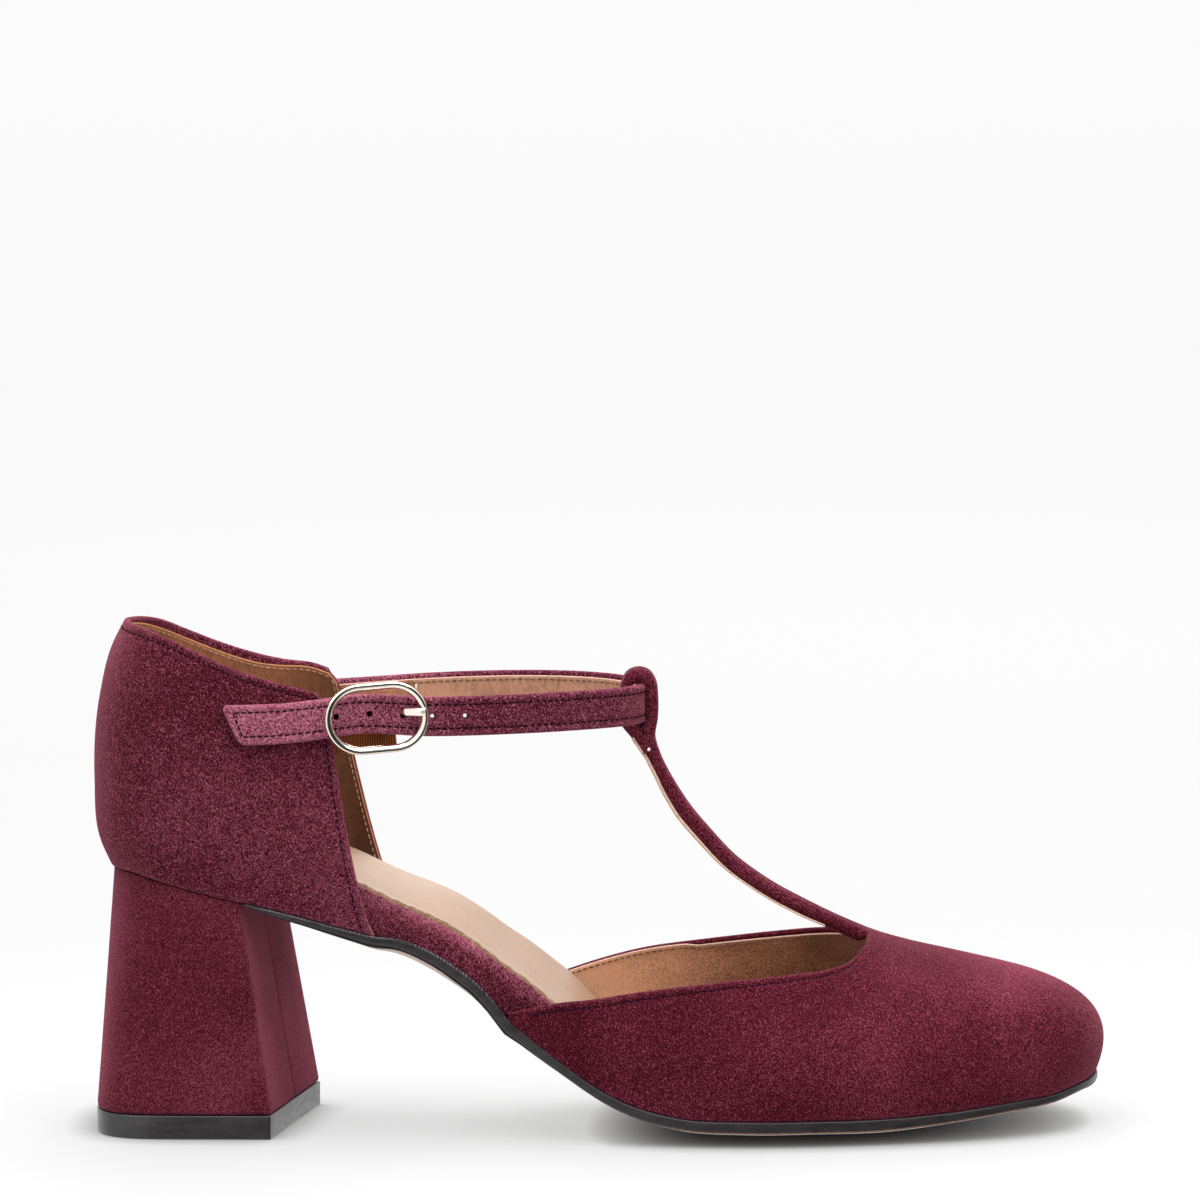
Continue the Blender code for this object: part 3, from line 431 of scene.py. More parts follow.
class PumpSizes(bpy.types.PropertyGroup):
    """Thicknesses, stitches and holes."""

    suede: length("Suede", "Thickness of the suede", 0.0014)
    lining: length("Lining", "Thickness of the linings", 0.00045)
    rim: length("Rim", "How far a lining stops below a folded edge", 0.0009)
    pitch: length("Stitch pitch", "Length of one stitch and its gap", 0.0016)
    thread: length("Thread", "Thickness of the thread", 0.00042)
    hole: length("Strap holes", "Radius of the holes in the strap", 0.00066)


class PumpColours(bpy.types.PropertyGroup):
    """Colours of the finishes."""

    suede: colour("Suede", "Suede in even light", (0.096, 0.0140, 0.0280))
    suede_dark: colour("Suede, dark nap", "Suede brushed away from the light", (0.034, 0.0030, 0.0075))
    suede_light: colour("Suede, light nap", "Suede brushed towards the light", (0.215, 0.055, 0.088))
    # Palest suede: the lightest fibres of the nap, and the colour that painted highlights reach
    suede_palest: colour("Suede, worn", "Suede rubbed pale", (0.40, 0.145, 0.205))
    thread: colour("Thread", "Stitches on the suede", (0.010, 0.002, 0.005))
    pale_thread: colour("Pale thread", "Stitches on the linings", (0.34, 0.21, 0.13))
    white_thread: colour("White thread", "Sewn ends of loop and strap", (0.80, 0.78, 0.74))
    lining: colour("Lining", "Leather lining of the quarter", (0.36, 0.158, 0.082))
    # Painted shade: the quarter's lining passes into this darker colour towards its front
    shaded_lining: colour("Worn lining", "The same lining where the foot rubs it", (0.080, 0.028, 0.012))
    strap_lining: colour("Strap lining", "Wrinkled leather behind the straps", (0.41, 0.213, 0.135))
    weave: colour("Woven lining", "Lining of the vamp", (0.53, 0.285, 0.170))
    raw_edge: colour("Raw edge", "Cut edges of the quarter's lining", (0.36, 0.160, 0.068))
    pale_edge: colour("Pale edge", "Cut edges of the other linings", (0.48, 0.32, 0.25))
    footbed: colour("Footbed", "Leather of the footbed", (0.252, 0.157, 0.100))
    frayed: colour("Frayed edge", "Rough edge of the footbed's cover", (0.11, 0.058, 0.032))
    charcoal: colour("Charcoal", "Sole edge and heel tip", (0.019, 0.0170, 0.0180))
    tread: colour("Tread", "Underside of the sole", (0.70, 0.58, 0.50))
    gold: colour("Gold", "Plating of the buckle", (0.92, 0.86, 0.76))
    elastic: colour("Elastic", "Ribbed tab of the buckle", (0.22, 0.062, 0.018))
    floor: colour("Floor", "Studio floor, besides its glow", (0.10, 0.10, 0.10))


class PumpStudio(bpy.types.PropertyGroup):
    """Camera and light."""

    aim: FloatVectorProperty(
        name="Aim", description="Point that the camera looks at", default=(-0.0002, -0.0021, 0.1244),
        subtype="XYZ", unit="LENGTH",
    )
    distance: length("Distance", "From the camera to its aim", 1.5)
    pitch: FloatProperty(
        name="Pitch", description="How far the camera looks down", default=math.radians(5.74),
        subtype="ANGLE", unit="ROTATION",
    )
    lens: FloatProperty(name="Lens", description="Focal length in millimetres", default=190.6, unit="CAMERA")
    ambient: FloatProperty(name="Ambient", description="Strength of the light all round", default=0.6)
    key: power("Key light", "Power of the light overhead", 40.0)
    left: power("Left light", "Power of the light in front, left", 10.0)
    right: power("Right light", "Power of the light in front, right", 15.0)
    back: power("Back light", "Power of the light behind", 26.0)


def smooth(rows, column, x):
    """Cubic curve through one column of a table, straight beyond its ends."""
    knots = rows["x"]
    values = rows[column]
    slopes = np.gradient(values, knots)
    beyond = np.minimum(0, x - knots[0]) * slopes[0] + np.maximum(0, x - knots[-1]) * slopes[-1]
    x = np.clip(x, knots[0], knots[-1])
    i = np.clip(np.searchsorted(knots, x, side="right") - 1, 0, len(knots) - 2)
    width = knots[i + 1] - knots[i]
    t = (x - knots[i]) / width
    start = values[i] * (1 + 2 * t) + slopes[i] * width * t
    end = values[i + 1] * (3 - 2 * t) + slopes[i + 1] * width * (t - 1)
    return start * (1 - t) ** 2 + end * t**2 + beyond


def ramp(low, high, x):
    """Smooth step from 0 at low to 1 at high."""
    t = np.clip((x - low) / (high - low), 0, 1)
    return t * t * (3 - 2 * t)


def between(limits, x):
    """Smooth rise from 0 to 1 between the first two limits and fall between the last two."""
    return ramp(limits[0], limits[1], x) - ramp(limits[2], limits[3], x)


def hill(x, middle, reach):
    """1 at the middle, falling to 0 on both sides."""
    return np.exp(-(((x - middle) / reach) ** 2))


def waves(x, rows):
    """Sum of sine waves, each given by its height, rate and start."""
    return sum(tall * np.sin(x * rate + start) for tall, rate, start in rows)


def spline(points, per_span, closed=False):
    """Curve through the points that doesn't overshoot where they are unevenly spaced."""
    points = np.array(points, float)
    if closed:
        points = np.concatenate([points[-1:], points, points[:2]])
    else:
        first = 2 * points[0] - points[1]
        last = 2 * points[-1] - points[-2]
        points = np.concatenate([[first], points, [last]])
    t = (np.arange(per_span) / per_span)[:, None]
    made = []
    for p0, p1, p2, p3 in zip(points, points[1:], points[2:], points[3:]):
        a = np.linalg.norm(p1 - p0) ** 0.5
        b = np.linalg.norm(p2 - p1) ** 0.5
        c = np.linalg.norm(p3 - p2) ** 0.5
        enter = (p1 - p0) / a - (p2 - p0) / (a + b) + (p2 - p1) / b
        leave = (p2 - p1) / b - (p3 - p1) / (b + c) + (p3 - p2) / c
        start = p1 * (1 + 2 * t) + enter * b * t
        end = p2 * (3 - 2 * t) + leave * b * (t - 1)
        made.append(start * (1 - t) ** 2 + end * t**2)
    if not closed:
        made.append(points[-2:-1])
    return np.concatenate(made)


def lengths(line):
    """Distance along a line of points to each of them."""
    return np.concatenate([[0], np.cumsum(np.linalg.norm(np.diff(line, axis=0), axis=1))])


def at_marks(line, along, marks):
    """Points of a line at the given values of a rising measure along it."""
    return np.stack([np.interp(marks, along, line[:, k]) for k in range(line.shape[1])], axis=1)


def unit(vectors):
    return vectors / np.maximum(np.linalg.norm(vectors, axis=-1, keepdims=True), 1e-12)


def half_turn(count):
    """Directions from the outer side round to the inner."""
    return np.linspace(-math.pi / 2, math.pi / 2, count)


def arc(centre, radius, start, stop, count):
    turn = np.radians(np.linspace(start, stop, count))
    return [(centre[0] + radius * math.cos(a), centre[1] + radius * math.sin(a)) for a in turn]


def rounding(away, reach, drop):
    """How far a rounded edge lies below its face, by the distance in from the edge."""
    near = np.clip(1 - away / reach, 0, 1)
    return drop * (1 - np.sqrt(1 - near**2))


class Plan:
    """An outline seen from above, from the back tip along the outer side to the toe and back on the inner."""

    def __init__(self, points):
        self.points = points
        toe = int(points[:, 0].argmax())
        self.outer = points[: toe + 1]
        self.inner = np.concatenate([points[toe:], points[:1]])[::-1]

    def side(self, name, x):
        line = self.outer if name == "lateral" else self.inner
        return np.interp(x, line[:, 0], line[:, 1])

    def inset(self, amount):
        """The same outline, moved inwards by an amount that may depend on x."""
        along = unit(np.roll(self.points, -1, axis=0) - np.roll(self.points, 1, axis=0))
        inward = np.stack([-along[:, 1], along[:, 0]], axis=1)
        distance = amount(self.points[:, 0]) if callable(amount) else np.full(len(along), amount)
        return Plan(self.points + inward * distance[:, None])

    def fan(self, pivot, ahead, angles):
        """Points of the outline in directions from a pivot, turning from the outer side to the inner."""
        away = self.points - pivot
        away = away[away[:, 0] * ahead > -FAN_BEHIND]
        turn = np.arctan2(away[:, 1], away[:, 0] * ahead)
        order = turn.argsort()
        reach = np.interp(angles, turn[order], np.linalg.norm(away, axis=1)[order])
        out = np.stack([np.cos(angles) * ahead, np.sin(angles)], axis=1)
        return np.array(pivot) + out * reach[:, None], out


def feather_plan():
    outer = list(zip(SECTIONS["x"], SECTIONS["lateral"]))
    inner = list(zip(SECTIONS["x"], SECTIONS["medial"]))
    return Plan(spline([BACK_TIP, *outer, TOE_TIP, *inner[::-1]], PLAN_STEPS, closed=True))


FEATHER = feather_plan()


def edge_height(x):
    return smooth(SECTIONS, "height", x) + smooth(WAIST_RISE, "lift", x)


def steepness(height, x):
    """How much longer a vertical measure is than one square to a slope."""
    slope = (height(x + 1) - height(x - 1)) / 2
    return np.sqrt(1 + slope**2)


def across(x, y):
    """Sideways place on the sole, -1 at the outer edge and 1 at the inner."""
    outer = smooth(SECTIONS, "lateral", x)
    inner = smooth(SECTIONS, "medial", x)
    half = np.maximum((inner - outer) / 2, NARROWEST_HALF)
    return np.clip((y - (inner + outer) / 2) / half, -PAST_EDGE, PAST_EDGE)


def near_edge(x, y):
    """0 on the middle of the sole, rising to 1 at its edges."""
    return np.maximum(0, (np.abs(across(x, y)) - FLAT_SHARE) / (1 - FLAT_SHARE)) ** 2


def dished(x, y, base, dish):
    tilt = smooth(SECTIONS, "tilt", x) * (across(x, y) + 1) / 2
    return base + tilt - dish * smooth(SECTIONS, "crown", x) * (1 - near_edge(x, y))


def sole_top(x, y):
    return dished(x, y, edge_height(x), 1.0)


def sole_bottom(x, y):
    thick = smooth(SECTIONS, "sole", x) * (1 - EDGE_THINNING * near_edge(x, y))
    thick = thick * (SHANK_THIN + (1 - SHANK_THIN) * ramp(*SHANK_RANGE, x))
    return np.maximum(0, sole_top(x, y) - thick * steepness(edge_height, x))


def bed_base(x):
    return smooth(SECTIONS, "height", x)


def bed_top(x, y):
    """The footbed runs on evenly over the step in the sole at each end of the waist."""
    lift = BED_RAISE * (1 - ramp(*BED_RAISE_RANGE, x)) + BED_LIFT * (1 - ramp(*BED_LIFT_RANGE, x))
    thick = smooth(SECTIONS, "bed", x) * steepness(bed_base, x)
    sunk = BED_SUNK * hill(x, BED_SUNK_AT, BED_SUNK_LONG) * np.clip(-across(x, y), 0, 1)
    return dished(x, y, bed_base(x) + lift + GAP + thick, BED_DISH) - sunk


def bed_bottom(x, y):
    return sole_top(x, y) + BED_CLEAR


def wrap_inset(x):
    covered = WALL + GAP
    return covered + (WRAP_OPEN_INSET - covered) * between(WAIST_OPEN, x)


def bed_inset(x):
    return WALL + GAP + WRAP_THICK * between(BED_NARROW, x)


def point_normals(points, faces):
    corners = points[faces]
    facing = np.cross(corners[:, 2] - corners[:, 0], corners[:, 3] - corners[:, 1])
    normals = np.zeros_like(points)
    for k in range(4):
        np.add.at(normals, faces[:, k], facing)
    return unit(normals)


def face_edges(faces):
    """Directed edges round the faces, apart from those without length."""
    edges = np.concatenate([faces[:, [k, (k + 1) % 4]] for k in range(4)])
    return edges[edges[:, 0] != edges[:, 1]]


def all_edges(faces):
    """Edges of the faces in both directions, each once."""
    edges = face_edges(faces)
    return np.unique(np.concatenate([edges, edges[:, ::-1]]), axis=0)


def border_edges(faces):
    """Directed edges with a face on one side only."""
    edges = face_edges(faces)
    size = faces.max() + 1
    there = np.isin(edges[:, 1] * size + edges[:, 0], edges[:, 0] * size + edges[:, 1])
    return edges[~there]


class Sheet:
    """A surface put together from grids that share the points where they meet."""

    def __init__(self):
        self.grids = []
        self.cells = []
        self.thicks = []
        self.count = 0

    def grid(self, points, out, thick=1.0, missing=()):
        """Adds a grid whose first cells face along out. Cells in missing are left open."""
        points = np.asarray(points, float)
        rows, columns = points.shape[:2]
        index = np.arange(rows * columns).reshape(rows, columns)
        cells = np.stack([index[:-1, :-1], index[:-1, 1:], index[1:, 1:], index[1:, :-1]], axis=-1)
        keep = np.ones(cells.shape[:2], bool)
        for i, j in missing:
            keep[i, j] = False
        flat = points.reshape(-1, 3)
        first = flat[cells[0]]
        facing = np.cross(first[:, 2] - first[:, 0], first[:, 3] - first[:, 1]).sum(axis=0)
        cells = cells[keep]
        if facing @ np.asarray(out, float) < 0:
            cells = cells[:, ::-1]
        self.cells.append(cells + self.count)
        self.grids.append(points)
        self.thicks.append(np.broadcast_to(thick, (rows, columns)).reshape(-1))
        self.count += len(flat)

    def weld(self):
        """Joins the grids where they meet, drops unused points and works out the normals."""
        points = np.concatenate([grid.reshape(-1, 3) for grid in self.grids])
        keys = np.round(points / WELD).astype(int)
        _, first, index = np.unique(keys, axis=0, return_index=True, return_inverse=True)
        faces = index.reshape(-1)[np.concatenate(self.cells)]
        used, places = np.unique(faces, return_inverse=True)
        place = np.full(len(first), -1)
        place[used] = np.arange(len(used))
        self.points = points[first][used]
        self.thick = np.concatenate(self.thicks)[first][used]
        self.faces = places.reshape(-1, 4)
        self.maps = []
        start = 0
        for grid in self.grids:
            size = grid.shape[0] * grid.shape[1]
            self.maps.append(place[index.reshape(-1)[start : start + size]].reshape(grid.shape[:2]))
            start += size
        self.measure()
        return self

    def measure(self):
        self.normals = point_normals(self.points, self.faces)
        self.border = border_edges(self.faces)

    def relax(self, centre, reach, rounds):
        """Evens out the surface and its border near a point."""
        edges = all_edges(self.faces)
        on_border = np.zeros(len(self.points), bool)
        on_border[self.border.reshape(-1)] = True
        inner = edges[~(on_border[edges[:, 0]])]
        pairs = np.concatenate([inner, self.border, self.border[:, ::-1]])
        away = np.linalg.norm(self.points - centre, axis=1)
        weight = EASE_STEP * (1 - ramp(EASE_CORE * reach, reach, away))
        count = np.maximum(np.bincount(pairs[:, 0], minlength=len(self.points)), 1)[:, None]
        for _ in range(rounds):
            total = np.zeros_like(self.points)
            np.add.at(total, pairs[:, 0], self.points[pairs[:, 1]])
            self.points += weight[:, None] * (total / count - self.points)
        self.measure()

    def press(self, ids, depth):
        """Pushes points into the surface."""
        self.points[ids] -= self.normals[ids] * depth

    def front_lines(self, *lines):
        """Points and normals along lines on the front."""
        return [(self.points[ids], self.normals[ids]) for ids in lines]

    def back_lines(self, *lines):
        """Points and normals along lines on the back of an evenly thick sheet."""
        thick = self.thick[0]
        return [(self.points[ids] - self.normals[ids] * thick, -self.normals[ids]) for ids in lines]

    def folded(self):
        """A closed body of the sheet and its thickness, with its border rolled over: points, faces, sides."""
        points, normals, thick, border = self.points, self.normals, self.thick, self.border
        along = np.zeros_like(points)
        step = points[border[:, 1]] - points[border[:, 0]]
        np.add.at(along, border[:, 0], step)
        np.add.at(along, border[:, 1], step)
        rim = np.unique(border)
        out = unit(np.cross(along[rim], normals[rim]))
        edges = all_edges(self.faces)
        on_border = np.zeros(len(points), bool)
        on_border[rim] = True
        start, end = edges[on_border[edges[:, 0]] & ~on_border[edges[:, 1]]].T
        room = np.full(len(points), np.inf)
        np.minimum.at(room, start, np.linalg.norm(points[start] - points[end], axis=1))
        roll = np.minimum(thick[rim] / 2, RIM_SHARE * np.minimum(room[rim], RIM_LIMIT))[:, None]
        half = thick[rim, None] / 2
        centre = points[rim] - out * roll - normals[rim] * half
        front = points.copy()
        front[rim] = centre + normals[rim] * half
        back = points - normals * thick[:, None]
        back[rim] = centre - normals[rim] * half
        rings = []
        for k in range(1, RIM_STEPS):
            turn = math.pi * k / RIM_STEPS
            rings.append(centre + math.cos(turn) * half * normals[rim] + math.sin(turn) * roll * out)
        count = len(points)
        place = np.full(count, -1)
        place[rim] = np.arange(len(rim))
        ids = [border]
        for k in range(RIM_STEPS - 1):
            ids.append(place[border] + 2 * count + k * len(rim))
        ids.append(border + count)
        faces = [self.faces]
        sides = [np.full(len(self.faces), FRONT)]
        for near, far in zip(ids, ids[1:]):
            faces.append(np.stack([near[:, 1], near[:, 0], far[:, 0], far[:, 1]], axis=1))
            sides.append(np.full(len(near), RIM))
        faces.append(self.faces[:, ::-1] + count)
        sides.append(np.full(len(self.faces), BACK))
        return np.concatenate([front, back, *rings]), np.concatenate(faces), np.concatenate(sides)


def sheet_of(points, out, thick=1.0, missing=()):
    """A sheet of one grid."""
    sheet = Sheet()
    sheet.grid(points, out, thick, missing)
    return sheet.weld()


def add_piece(name, points, faces, finishes, slot, stands_for=(), sides=None, rub=None, sharp=50.0):
    """A shown piece of the shoe, in place, with its finishes, hiding the solids that it stands for; slot is
    not used.
    """
    mesh = bpy.data.meshes.new(name)
    rows = [list(dict.fromkeys(face)) for face in np.asarray(faces).tolist()]
    kept = [k for k, row in enumerate(rows) if len(row) > 2]
    mesh.from_pydata(((np.asarray(points) + SHIFT) * MM).tolist(), [], [rows[k] for k in kept])
    for finish in finishes:
        mesh.materials.append(finish_of(finish))
    if sides is not None:
        mesh.polygons.foreach_set("material_index", np.asarray(sides)[kept].astype(np.int32))
    if rub is not None:
        mesh.attributes.new("rub", "FLOAT", "POINT").data.foreach_set("value", rub.astype(np.float32))
    mesh.shade_smooth()
    mesh.set_sharp_from_angle(angle=math.radians(sharp))
    made = bpy.data.objects.new(name, mesh)
    bpy.context.collection.objects.link(made)
    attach(made, "root")
    if stands_for:
        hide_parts(*stands_for)
    return made


def turn_out(made):
    """Closes a piece's holes with its first finish and makes its faces point outwards."""
    work = bmesh.new()
    work.from_mesh(made.data)
    ends = bmesh.ops.holes_fill(work, edges=[edge for edge in work.edges if edge.is_boundary])
    for face in ends["faces"]:
        face.material_index = 0
    bmesh.ops.recalc_face_normals(work, faces=work.faces)
    work.to_mesh(made.data)
    work.free()


def closeness(points, border, reach):
    """How close each point is to the border points, 1 at them and 0 further off than reach."""
    tree = KDTree(len(border))
    for k, point in enumerate(border):
        tree.insert(point, k)
    tree.balance()
    away = np.array([tree.find(point)[2] for point in points])
    return hill(away, 0.0, reach)


def folded_piece(name, sheet, finishes, slot, stands_for=(), reach=0.8):
    """A piece of a folded sheet. A second finish is for its rim."""
    points, faces, sides = sheet.folded()
    rim = points[len(sheet.points) * 2 :]
    index = np.where(sides == RIM, 1, 0) if len(finishes) > 1 else None
    # The suede is made lighter near the rolled rim
    return add_piece(name, points, faces, finishes, slot, stands_for, index, closeness(points, rim, reach))


def add_stitches(name, lines, pitch, thread, finish, slot="suede"):
    """Stitches along lines, each given as points and normals of the surface under it."""
    points = []
    faces = []
    count = 0
    rings = len(STITCH_RINGS)
    radius = thread / 2
    turn = np.arange(STITCH_SIDES) * 2 * math.pi / STITCH_SIDES
    for line, normals in lines:
        along = lengths(line)
        number = max(1, round(along[-1] / pitch))
        step = along[-1] / number
        for k in range(number):
            marks = (k + np.array([ring[0] for ring in STITCH_RINGS])) * step
            middle = at_marks(line, along, marks)
            up = unit(at_marks(normals, along, marks))
            side = np.cross(unit(np.gradient(middle, axis=0)), up)
            for place, normal, right, (_, lift, width) in zip(middle, up, side, STITCH_RINGS):
                ring = np.cos(turn)[:, None] * right * width + np.sin(turn)[:, None] * normal * width
                points.append(place + normal * lift * thread + ring * radius)
            for i in range(rings - 1):
                for j in range(STITCH_SIDES):
                    a = count + i * STITCH_SIDES + j
                    b = count + i * STITCH_SIDES + (j + 1) % STITCH_SIDES
                    faces.append((a, b, b + STITCH_SIDES, a + STITCH_SIDES))
            for end in (count, count + (rings - 1) * STITCH_SIDES):
                faces.append((end, end + 1, end + 2, end + 3))
                faces.append((end, end + 3, end + 4, end + 5))
            count += rings * STITCH_SIDES
    turn_out(add_piece(name, np.concatenate(points), np.array(faces), [finish], slot))


def sewn(name, lines, sizes, finish, slot="suede", fine=1.0):
    """Stitches with the pitch and thread of the settings."""
    add_stitches(name, lines, sizes.pitch / MM, fine * sizes.thread / MM, finish, slot)


def tinted(base, shares):
    """A colour times one share, or a share for each channel."""
    return tuple(np.minimum(1.0, np.array(base) * shares).tolist())


class Nodes:
    """Makes and links the nodes of one tree."""

    def __init__(self, tree):
        self.nodes = tree.nodes
        self.links = tree.links

    def node(self, kind, inputs, output=0, **settings):
        made = self.nodes.new(kind)
        for name, value in settings.items():
            setattr(made, name, value)
        for name, value in inputs.items():
            if isinstance(value, bpy.types.NodeSocket):
                self.links.new(value, made.inputs[name])
            else:
                made.inputs[name].default_value = value
        return made.outputs[output]

    def add(self, first, *others):
        for other in others:
            first = self.node("ShaderNodeMath", {0: first, 1: other}, operation="ADD")
        return first

    def times(self, first, second):
        return self.node("ShaderNodeMath", {0: first, 1: second}, operation="MULTIPLY")

    def spread(self, value, low, high, to_low=0.0, to_high=1.0):
        inputs = {"Value": value, "From Min": low, "From Max": high, "To Min": to_low, "To Max": to_high}
        return self.node("ShaderNodeMapRange", inputs)


class Finish(Nodes):
    """A material with a Principled shader, and the nodes that drive it."""

    def __init__(self, name, base, roughness, **sockets):
        self.material = bpy.data.materials.new(name)
        self.material.use_nodes = True
        super().__init__(self.material.node_tree)
        self.shader = self.nodes["Principled BSDF"]
        self.set("Base Color", (*base, 1.0))
        self.set("Roughness", roughness)
        for socket, value in sockets.items():
            self.set(socket.replace("_", " ").title().replace("Ior", "IOR"), value)
        self.place = self.node("ShaderNodeTexCoord", {}, output="Object")

    def set(self, socket, value):
        self.shader.inputs[socket].default_value = value

    def drive(self, socket, output):
        self.links.new(output, self.shader.inputs[socket])

    def axis(self, name):
        """One of the piece's own coordinates, in metres."""
        return self.node("ShaderNodeSeparateXYZ", {"Vector": self.place}, output=name)

    def stretched(self, scale, turn=(0.0, 0.0, 0.0)):
        """The piece's own coordinates, turned and then stretched."""
        turned = self.node("ShaderNodeMapping", {"Vector": self.place, "Rotation": turn})
        return self.node("ShaderNodeMapping", {"Vector": turned, "Scale": scale})

    def noise(self, size, detail=2.0, rough=0.5, distortion=0.0, place=None):
        """Noise whose spots are about size metres across."""
        inputs = {
            "Vector": place or self.place,
            "Scale": 1.0 / size,
            "Detail": detail,
            "Roughness": rough,
            "Distortion": distortion,
        }
        return self.node("ShaderNodeTexNoise", inputs)

    def ribs(self, size, distortion, detail, detail_scale):
        """Waves along X that are about size metres apart."""
        inputs = {
            "Vector": self.place,
            "Scale": 1 / size,
            "Distortion": distortion,
            "Detail": detail,
            "Detail Scale": detail_scale,
        }
        return self.node("ShaderNodeTexWave", inputs, output="Fac", bands_direction="X")

    def mix(self, factor, first, second):
        inputs = {0: factor}
        for index, value in ((6, first), (7, second)):
            inputs[index] = value if isinstance(value, bpy.types.NodeSocket) else (*value, 1.0)
        return self.node("ShaderNodeMix", inputs, output=2, data_type="RGBA")

    # Point attribute that lightens the suede near edges, carries painted light and shade, and masks the sole
    # edge's painted highlight
    def rub(self):
        return self.node("ShaderNodeAttribute", {}, output="Fac", attribute_name="rub")

    def bump(self, height, distance, strength=1.0):
        inputs = {"Height": height, "Distance": distance, "Strength": strength}
        self.drive("Normal", self.node("ShaderNodeBump", inputs))


def suede_finish(name, colours, shift, grain, clump, patch, tint, fade=None):
    """Short nap: fine strokes of dark and light, clumps, broad brushed patches, lighter edges and painted
    light.
    """
    made = Finish(name, colours.suede, 0.95, specular_ior_level=0.04, sheen_weight=0.5, sheen_roughness=0.2)
    made.set("Sheen Tint", (1.0, 0.32, 0.42, 1.0))
    strokes = made.stretched((1.0, 1.0, 0.45), (0.3, 0.6, 0.4))
    pile = made.noise(0.00021, 1.0, 0.5, 0.5, strokes)
    clumps = made.noise(0.0009, 2.0, 0.5, 0.3, strokes)
    patches = made.noise(0.042, 2.0, 0.5, 0.4)
    tone = made.add(
        made.spread(pile, 0.0, 1.0, 0.5 - grain / 2, 0.5 + grain / 2),
        made.spread(clumps, 0.3, 0.7, -clump, clump),
        made.spread(patches, 0.25, 0.75, shift - patch, shift + patch),
        # Lighter by the point attribute: near edges, and where light is painted in
        made.times(made.rub(), 0.06),
    )
    # The fade paints light and shade on the quarter and the toe, and shifts the strap's tone along it
    if fade:
        tone = made.add(tone, fade(made))
    shades = (colours.suede_dark, colours.suede, colours.suede_light, colours.suede_palest)
    base, *lighter = [tinted(shade, tint) for shade in shades]
    for limits, shade in zip(((0.37, 0.50), (0.50, 0.66), (0.66, 0.95)), lighter):
        base = made.mix(made.spread(tone, *limits), base, shade)
    made.drive("Base Color", base)
    made.bump(made.add(pile, made.times(clumps, 12 * clump)), 0.0005, 0.7)
    return made.material


def strap_fade(made):
    """The strap is lighter towards its ends behind the buckle and a little darker round the front."""
    return made.spread(made.axis("X"), -0.046, -0.031, 0.10, -0.06)


def quarter_light_and_shade(made):
    """Painted shade round the quarter's back, painted sheen at its front edge; the waist darker to the front.
    """
    x = made.axis("X")
    return made.add(made.spread(x, -0.118, -0.062, -0.035, 0.045), made.spread(x, -0.050, -0.020, 0.0, -0.09))


def toe_crest_highlight(made):
    """Painted highlight on the crest of the toe, where the nap catches the light."""
    ahead = made.spread(made.axis("X"), 0.080, 0.097)
    return made.times(ahead, made.spread(made.axis("Z"), 0.026, 0.035, 0.0, 0.13))


def towards_front(made):
    """1 at the front edges of the quarter and 0 round the back: the share of painted shade in its lining."""
    return made.spread(made.axis("X"), -0.084, -0.057)


def behind_seam(made):
    """1 behind the seam in the strap's lining on the inner side."""
    behind = made.spread(made.axis("X"), -0.0447, -0.0449)
    return made.times(behind, made.spread(made.axis("Y"), 0.0, 0.001))


def lining_finish(name, colours, second, part):
    """Leather with pores and clouds, which passes over to a second colour in part of the piece."""
    shades = (getattr(colours, name), getattr(colours, second))
    made = Finish(name, shades[0], 0.62, specular_ior_level=0.25)
    pores = made.noise(0.0007, 2.0, 0.55)
    clouds = made.noise(0.009, 2.0, 0.5)
    creases = made.noise(0.0013, 2.0, 0.5, 0.3, made.stretched((1.0, 1.0, 0.15)))
    tone = made.add(made.times(pores, 0.35), made.times(clouds, 0.35), made.times(creases, 0.3))
    mixed = []
    for shade in shades:
        mixed.append(made.mix(made.spread(tone, 0.36, 0.64), tinted(shade, 0.66), tinted(shade, 1.25)))
    made.drive("Base Color", made.mix(part(made), *mixed))
    made.bump(made.add(pores, creases), 0.0003, 0.5)
    return made.material


def weave_finish(name, colours):
    """Cloth painted paler at its rear end, where light falls in, and darker in the toe, as shade inside the
    vamp.
    """
    made = Finish(name, colours.weave, 0.85, specular_ior_level=0.2, sheen_weight=0.2)
    threads = made.noise(0.00032, 1.0, 0.5, 0.2, made.stretched((1.0, 1.0, 0.55), (0.0, 0.5, 0.0)))
    clouds = made.noise(0.012, 2.0, 0.5)
    x = made.axis("X")
    cloth = made.add(
        made.times(threads, 0.65),
        made.times(clouds, 0.35),
        made.spread(x, 0.005, 0.042, 0.13, -0.14),
        made.spread(x, -0.002, 0.012, 0.10, 0.0),
    )
    dark = tinted(colours.weave, (0.30, 0.24, 0.20))
    made.drive("Base Color", made.mix(made.spread(cloth, 0.28, 0.70), dark, tinted(colours.weave, 1.45)))
    made.bump(threads, 0.0003, 0.5)
    return made.material


def grained_finish(name, colours, rough, gloss, grain, light, limits, relief, stretch=None, base=None):
    """One colour that passes over to a lighter one in a fine grain, which stands out from the surface."""
    base = getattr(colours, base or name)
    made = Finish(name, base, rough, specular_ior_level=gloss)
    grains = made.noise(*grain, 0.0, made.stretched(*stretch) if stretch else None)
    made.drive("Base Color", made.mix(made.spread(grains, *limits), base, tinted(base, light)))
    made.bump(grains, *relief)
    return made.material


def footbed_finish(name, colours):
    made = Finish(name, colours.footbed, 0.42, specular_ior_level=0.4)
    pores = made.noise(0.0009, 2.0, 0.5)
    clouds = made.noise(0.02, 2.0, 0.5, 0.4)
    warm = tinted(colours.footbed, (0.95, 0.83, 0.72))
    made.drive("Base Color", made.mix(made.spread(clouds, 0.35, 0.75), colours.footbed, warm))
    made.drive("Roughness", made.spread(pores, 0.2, 0.8, 0.36, 0.5))
    made.bump(pores, 0.00012, 0.25)
    return made.material


